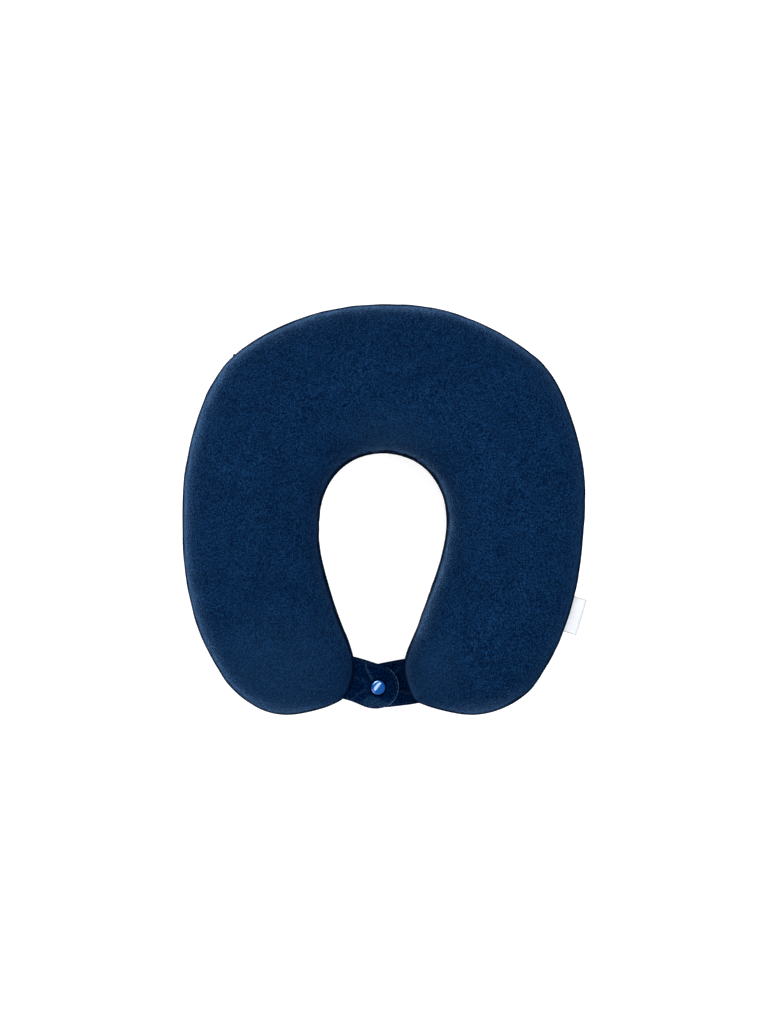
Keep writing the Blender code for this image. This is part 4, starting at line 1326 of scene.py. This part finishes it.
def tab_blend(obj):
    """Bakes the object's placement into its mesh."""
    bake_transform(obj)


def build_tab(tab):
    """A two-ply turned tab with its topstitch."""
    angle = math.radians(tab.degrees)
    tab.along = np.array([math.cos(angle), math.sin(angle)])
    tab.sideways = np.array([-math.sin(angle), math.cos(angle)]) * -tab.side
    reach, across = tab_grid(tab)
    from_rim = distance_to_rim(reach, across)
    from_snap = np.hypot(reach, across)
    lift, crease_highlight = tab_relief(tab, reach, across, from_snap)
    half = tab_half_thickness(reach, from_rim, from_snap)
    plan = tab_plan(tab, reach, across)
    upper = np.concatenate([plan, (lift + half)[..., None]], 2)
    lower = np.concatenate([plan, (lift - half)[..., None]], 2)
    faces = tab_faces()
    used = sorted({int(i) for face in faces for i in face})
    renumbered = {old: new for new, old in enumerate(used)}
    faces = [tuple(renumbered[int(i)] for i in face) for face in faces]
    vertices = np.concatenate([upper.reshape(-1, 3), lower.reshape(-1, 3)])[used]
    name = f"tab_{tab.word}_cloth"
    obj = mesh_object(name, to_metres(vertices), faces, TAB_VELOUR, sharp=80)
    keep_rest(obj)
    # painted highlight: lighter colour along the nose's edge, on the crease ridges and in a band on
    # the drooping side
    edge_highlight = (1.0 - ease((from_rim - 0.2) / 0.8)) * ease((reach - 1.0) / 6.0)
    side_highlight = 0.14 * ease((-across - 6.0) / 6.0) * ease((reach + 12.0) / 10.0)
    painted_highlight = np.maximum(np.maximum(0.9 * edge_highlight, crease_highlight), side_highlight)
    point_value(obj, "rim", np.concatenate([painted_highlight.ravel(), 0.25 * edge_highlight.ravel()])[used])
    # painted shadow: a dark ring of colour on the upper face round the snap's cap
    snap_shadow = (1.0 - ease((from_snap - 6.1) / 0.7)).ravel()
    point_value(obj, "shade", np.concatenate([snap_shadow, np.zeros_like(snap_shadow)])[used])
    tab_blend(obj)
    topstitch(tab, stitch_line(reach, across, from_rim), vertices, faces)
    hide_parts(f"tab_{tab.word}_face", f"tab_{tab.word}_lining")


build_tab(UPPER_TAB)
build_tab(LOWER_TAB)


# ------------------------------------------------------------------ snap, turned smooth
def lathe(name, profile, material, body, node, steps=72):
    """Turned part round the snap's axis from (radius, z) points; radius 0 closes an end."""
    points, rings, faces = [], [], []
    for radius, z in profile:
        count = 1 if radius < 1e-6 else steps
        rings.append(range(len(points), len(points) + count))
        for i in range(count):
            turn = 2 * math.pi * i / steps
            x = SNAP[0] + radius * math.cos(turn)
            y = SNAP[1] + radius * math.sin(turn)
            points.append((x, y, z))
    for ring, following in zip(rings[:-1], rings[1:]):
        for i in range(steps):
            j = (i + 1) % steps
            here, here_next = ring[i % len(ring)], ring[j % len(ring)]
            there, there_next = following[i % len(following)], following[j % len(following)]
            faces.append(tuple(dict.fromkeys((here, there, there_next, here_next))))
    obj = mesh_object(name, to_metres(points), faces, material, sharp=50)
    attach(obj, body)
    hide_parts(node)


def box_z(node):
    """Lowest and highest z of a CAD node, in mm."""
    low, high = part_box(node)
    return low.z / MM, high.z / MM


def snap_cap():
    low, high = box_z("snap_cap")
    radius = (SNAP_HIGH.x - SNAP_LOW.x) / 2 / MM
    crown = 1.75
    rim = high - 2.2
    profile = [
        (0.0, low), (1.2, low), (1.3, low + 0.1), (1.3, rim),
        (radius - 0.9, high - 2.3), (radius - 0.25, rim),
    ]
    for turn in np.linspace(math.pi / 2, 0, 22):
        profile.append((radius * math.sin(turn), high - crown + crown * math.cos(turn)))
    lathe("snap_cap_dome", profile, ENAMEL, "upper_tab", "snap_cap")


def snap_socket():
    low, high = box_z("snap_socket")
    profile = (
        (0.0, high - 0.2), (2.3, high - 0.2), (2.4, high - 0.35), (2.4, low + 0.3),
        (2.6, low + 0.05), (3.2, low), (4.1, low), (4.5, low + 0.12), (4.75, low + 0.45),
        (4.8, low + 0.8), (4.8, high - 0.35), (4.6, high - 0.05), (0.0, high),
    )
    lathe("snap_socket_ring", profile, NICKEL, "upper_tab", "snap_socket")


def snap_stud():
    low, high = box_z("snap_stud")
    profile = (
        (0.0, low), (4.2, low), (4.5, low + 0.1), (4.55, low + 0.22), (4.3, low + 0.42),
        (2.4, low + 0.45), (1.8, low + 0.6), (1.5, low + 0.9), (1.45, low + 1.4),
        (1.62, low + 1.8), (1.7, low + 2.0), (1.62, low + 2.2), (1.35, low + 2.34),
        (0.7, high - 0.01), (0.0, high),
    )
    lathe("snap_stud_post", profile, NICKEL, "lower_tab", "snap_stud")


def snap_rivet():
    low, high = box_z("snap_rivet")
    profile = (
        (0.0, low), (1.4, low + 0.02), (2.8, low + 0.12), (3.9, low + 0.32), (4.5, low + 0.6),
        (4.65, low + 0.85), (4.5, low + 1.0), (1.3, low + 1.02), (1.3, high), (0.0, high),
    )
    lathe("snap_rivet_head", profile, NICKEL, "lower_tab", "snap_rivet")


snap_cap()
snap_socket()
snap_stud()
snap_rivet()

# ------------------------------------------------------------------ zip
ZIP_CENTRE = np.array(JOINTS["zip_run"]["pos_m"][:2]) / MM
COIL_PITCH, COIL_RADIUS = 1.3, SEAM_ARC_R - 3.35
COIL_WIRE_RADIUS, COIL_SIDES, TURN_POINTS = 0.27, 6, 12
# the oval turns leave a slit at the seam's level, which the slider's divider runs in
OVAL_Z, OVAL_HALF_HEIGHT, OVAL_HALF_DEPTH = 1.535, 0.865, 0.62


def zip_coil(word):
    """One side of a closed coil zip: wound monofilament, its turns set between the other's."""
    upper = word == "upper"
    half = math.radians(ZIP_HALF_DEG - 1.0)
    turns = int(2 * half * COIL_RADIUS / COIL_PITCH)
    count = turns * TURN_POINTS + 1
    step = np.arange(count)
    shift = 0.0 if upper else 0.5
    angle = -half + (step / TURN_POINTS + shift) * COIL_PITCH / COIL_RADIUS
    wind = 2 * math.pi * step / TURN_POINTS
    z = SEAM_Z + (OVAL_Z - OVAL_HALF_HEIGHT * np.cos(wind)) * (1 if upper else -1)
    radius = COIL_RADIUS + OVAL_HALF_DEPTH * np.sin(wind)
    x = ZIP_CENTRE[0] + radius * np.sin(angle)
    y = ZIP_CENTRE[1] + radius * np.cos(angle)
    path = np.stack([x, y, z], 1)
    heading = headings(path)
    along_arc = np.stack([np.cos(angle), -np.sin(angle), np.zeros(count)], 1)
    first = unit(np.cross(heading, along_arc))
    second = np.cross(heading, first)
    rings = tube(path, COIL_WIRE_RADIUS * first, COIL_WIRE_RADIUS * second, COIL_SIDES)
    faces = capped_tube_faces(count, COIL_SIDES)
    obj = mesh_object(f"zip_coil_wound_{word}", to_metres(rings), faces, COIL)
    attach(obj, "back")
    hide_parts(f"zip_coil_{word}")


zip_coil("upper")
zip_coil("lower")

# ------------------------------------------------------------------ side label
LABEL_LENGTH, LABEL_SHIFT, LABEL_ROWS = 28.0, -3.5, 57
LABEL_PLY, LABEL_HALF_GAP = 0.34, 0.28
LABEL_TUCK = -1.6  # where the ribbon starts behind the seam


def label_section(flat):
    """The folded ribbon's closed outline as (outward, height), and the run along the ribbon."""
    radius = LABEL_HALF_GAP + LABEL_PLY / 2
    middle = [(x, -radius, x) for x in np.linspace(LABEL_TUCK, flat, 12)]
    for turn in np.linspace(0, math.pi, 11)[1:-1]:
        out, up = flat + radius * math.sin(turn), -radius * math.cos(turn)
        middle.append((out, up, flat + radius * turn))
    end = 2 * flat + radius * math.pi
    middle += [(x, radius, end - x) for x in np.linspace(flat, LABEL_TUCK, 12)]
    middle = np.array(middle)
    heading = headings(middle[:, :2])
    offset = np.stack([-heading[:, 1], heading[:, 0]], 1) * LABEL_PLY / 2
    line, run = middle[:, :2], middle[:, 2]
    outline = np.concatenate([line + offset, (line - offset)[::-1]])
    return outline, np.concatenate([run, run[::-1]])


def side_label():
    """One ribbon, folded double, sewn in at the seam."""
    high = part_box("side_label")[1]
    joint = JOINTS["label_flap"]
    root = np.array(joint["pos_m"]) / MM
    axis = np.array(joint["axis"][:2], float)
    axis /= np.linalg.norm(axis)
    out = np.array([-axis[1], axis[0]])
    if out[0] < 0:
        out = -out
    width = (high.x / MM - root[0] - abs(axis[0]) * LABEL_LENGTH / 2) / out[0] + 1.7
    flat = width - 0.75
    outline, run = label_section(flat)
    outward, height = outline.T
    share = np.linspace(-0.5, 0.5, LABEL_ROWS)[:, None]
    along = share * LABEL_LENGTH + LABEL_SHIFT
    # a slight bow, wave and spread that grow away from the seam
    bow = 0.35 * np.cos(share * math.pi) - 0.15
    wave = 0.16 * np.sin(share * 9.0 + 0.6)
    free = np.maximum(outward, 0.0) / width
    z = height * (1.0 + 0.35 * np.sin(share * 7.0) * free) + (bow * 1.2 + wave) * free * free
    away = outward + 0.12 * np.sin(share * 5.0 + 1.0) * free
    x = root[0] + out[0] * away + axis[0] * along
    y = root[1] + out[1] * away + axis[1] * along
    points = np.stack([x, y, SEAM_Z + z], 2)
    rest = np.stack(np.broadcast_arrays(run, along, 0.0), 2)
    # grey lines at the ends and along the fold: partly the edge yarn, partly painted shade
    end_shade_and_yarn = 0.8 * bell((np.abs(share) * LABEL_LENGTH - (LABEL_LENGTH / 2 - 0.35)) / 0.5)
    fold_shade_and_yarn = 0.85 * bell((outward - (flat - 0.15)) / 0.5)
    sides = len(outline)
    faces = tube_faces(LABEL_ROWS, sides)
    for base in (0, (LABEL_ROWS - 1) * sides):
        last = base + sides - 1
        for i in range(sides // 2 - 1):
            faces.append((base + i, base + i + 1, last - 1 - i, last - i))
    obj = mesh_object("side_label_ribbon", to_metres(points), faces, LABEL, sharp=60)
    keep_rest(obj, rest)
    point_value(obj, "edge", np.maximum(end_shade_and_yarn, fold_shade_and_yarn))
    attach(obj, "label")
    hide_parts("side_label")


side_label()


# ------------------------------------------------------------------ CAD nodes that are kept
def finish_node(name, material):
    obj = frame["nodes"][name]
    obj.data.materials.clear()
    obj.data.materials.append(material)
    return obj


def finish_metal(name):
    obj = finish_node(name, SLIDER)
    bevel = obj.modifiers.new("worn_edges", "BEVEL")
    bevel.width = 0.00018
    bevel.segments = 2
    bevel.limit_method = "ANGLE"
    bevel.angle_limit = math.radians(35)
    obj.data.shade_smooth()
    obj.data.set_sharp_from_angle(angle=math.radians(40))


finish_node("zip_tape_upper", TAPE)
finish_node("zip_tape_lower", TAPE)
finish_metal("zip_slider")
finish_metal("zip_pull")


# ------------------------------------------------------------------ stage, light, camera
def floor_material():
    """Pale floor: glows to paper white when seen directly, but throws little light back."""
    shader = new_shader("floor_pale")
    place = shader.local(scale=1.0)
    mottle = shader.noise(place, scale=3.0)
    seen = shader.add("LightPath").outputs["Is Camera Ray"]
    # beyond the lights' reach it brightens into the backdrop
    reach = shader.add("VectorMath", {0: place}, operation="LENGTH").outputs["Value"]
    glow = shader.remap(reach, between=(0.6, 1.8), gives=(0.72, 1.0))
    return shader.surface({
        "Base Color": shader.ramp(mottle, (0.3, (0.50,) * 3), (0.7, (0.52,) * 3)),
        "Roughness": 0.95,
        "Specular IOR Level": 0.0,
        "Emission Color": (1.0, 1.0, 1.0),
        "Emission Strength": shader.math("MULTIPLY", seen, glow),
    })


def studio_floor():
    half, z = 4, -0.0004
    corners = [(-half, -half, z), (half, -half, z), (half, half, z), (-half, half, z)]
    mesh_object("studio_floor", corners, [(0, 1, 2, 3)], floor_material(), smooth=False)


def studio_world():
    """White where it is seen directly; dimmer as light, and dimmest in what shiny parts mirror."""
    world = bpy.data.worlds.new("studio")
    bpy.context.scene.world = world
    shader = Shader(world)
    ambient = shader.tree.nodes["Background"]
    white = shader.add("Background", {"Color": (1.0, 1.0, 1.0)})
    path = shader.add("LightPath").outputs
    strength = shader.remap(path["Is Glossy Ray"], between=(0.0, 1.0), gives=(0.38, 0.14))
    # the 0.5 only applies if the link to Strength is taken off
    shader.feed(ambient, {"Color": (0.96, 0.98, 1.0), "Strength": 0.5})
    shader.feed(ambient, {"Strength": strength})
    sources = {0: path["Is Camera Ray"], 1: ambient.outputs[0], 2: white.outputs[0]}
    pick = shader.add("MixShader", sources)
    shader.feed(shader.tree.nodes["World Output"], {"Surface": pick.outputs[0]})


def area(name, place, size, power, target=None, spin=0.0, colour=(1, 1, 1)):
    """Rectangular light aimed at a target, or straight down and turned by `spin`."""
    light = bpy.data.lights.new(name, "AREA")
    light.shape = "RECTANGLE"
    light.size, light.size_y = size
    light.energy = power
    light.color = colour
    obj = link(name, light)
    obj.location = place
    if target is None:
        obj.rotation_euler = (0.0, 0.0, spin)
    else:
        obj.rotation_mode = "QUATERNION"
        aim = Vector(target) - Vector(place)
        obj.rotation_quaternion = aim.to_track_quat("-Z", "Y")
    return obj


def studio_lights():
    # a low key from the left for the nap's rims
    area("key_left", (-1.20, -0.80, 0.27), size=(1.6, 0.35), power=19.0, target=(0, 0, 0.06))
    # a long softbox overhead that runs from lower left to upper right in plan
    spin = math.atan2(0.787, 0.618)
    area("softbox_top", (-0.052, 0.042, 1.15), size=(1.7, 0.36), power=12.5, spin=spin)
    # a dimmer one low at the back left, and a card high behind it for gloss only
    area("softbox_back", (-0.75, 0.75, 0.42), size=(1.5, 0.55), power=9.0, target=(0, 0, 0.05))
    card = area(
        "glint_card", (-0.55, 0.42, 0.62), size=(1.6, 0.34), power=21.0,
        target=(0.0, -0.14, 0.05), colour=(0.86, 1.0, 0.98),
    )
    card.visible_diffuse = False
    fill = area(
        "fill_right", (1.05, -0.1, 1.15), size=(1.0, 1.0), power=24.0,
        target=(0, 0, 0.05), colour=(0.96, 0.98, 1.0),
    )
    fill.visible_glossy = False


def studio_camera():
    """Looks straight down."""
    view_size = 0.768  # metres across the sensor's long side, at the seam's level
    lens = bpy.data.cameras.new("camera")
    lens.lens = 85.0
    lens.sensor_width = 36.0
    lens.clip_end = 50.0
    camera = link("camera", lens)
    distance = view_size * lens.lens / lens.sensor_width
    camera.location = (0.0004, -0.0011, SEAM_Z * MM + distance)
    bpy.context.scene.camera = camera


view = bpy.context.scene.view_settings
view.view_transform = "Standard"
view.look = "None"
view.exposure = 0.0
studio_floor()
studio_world()
studio_lights()
studio_camera()
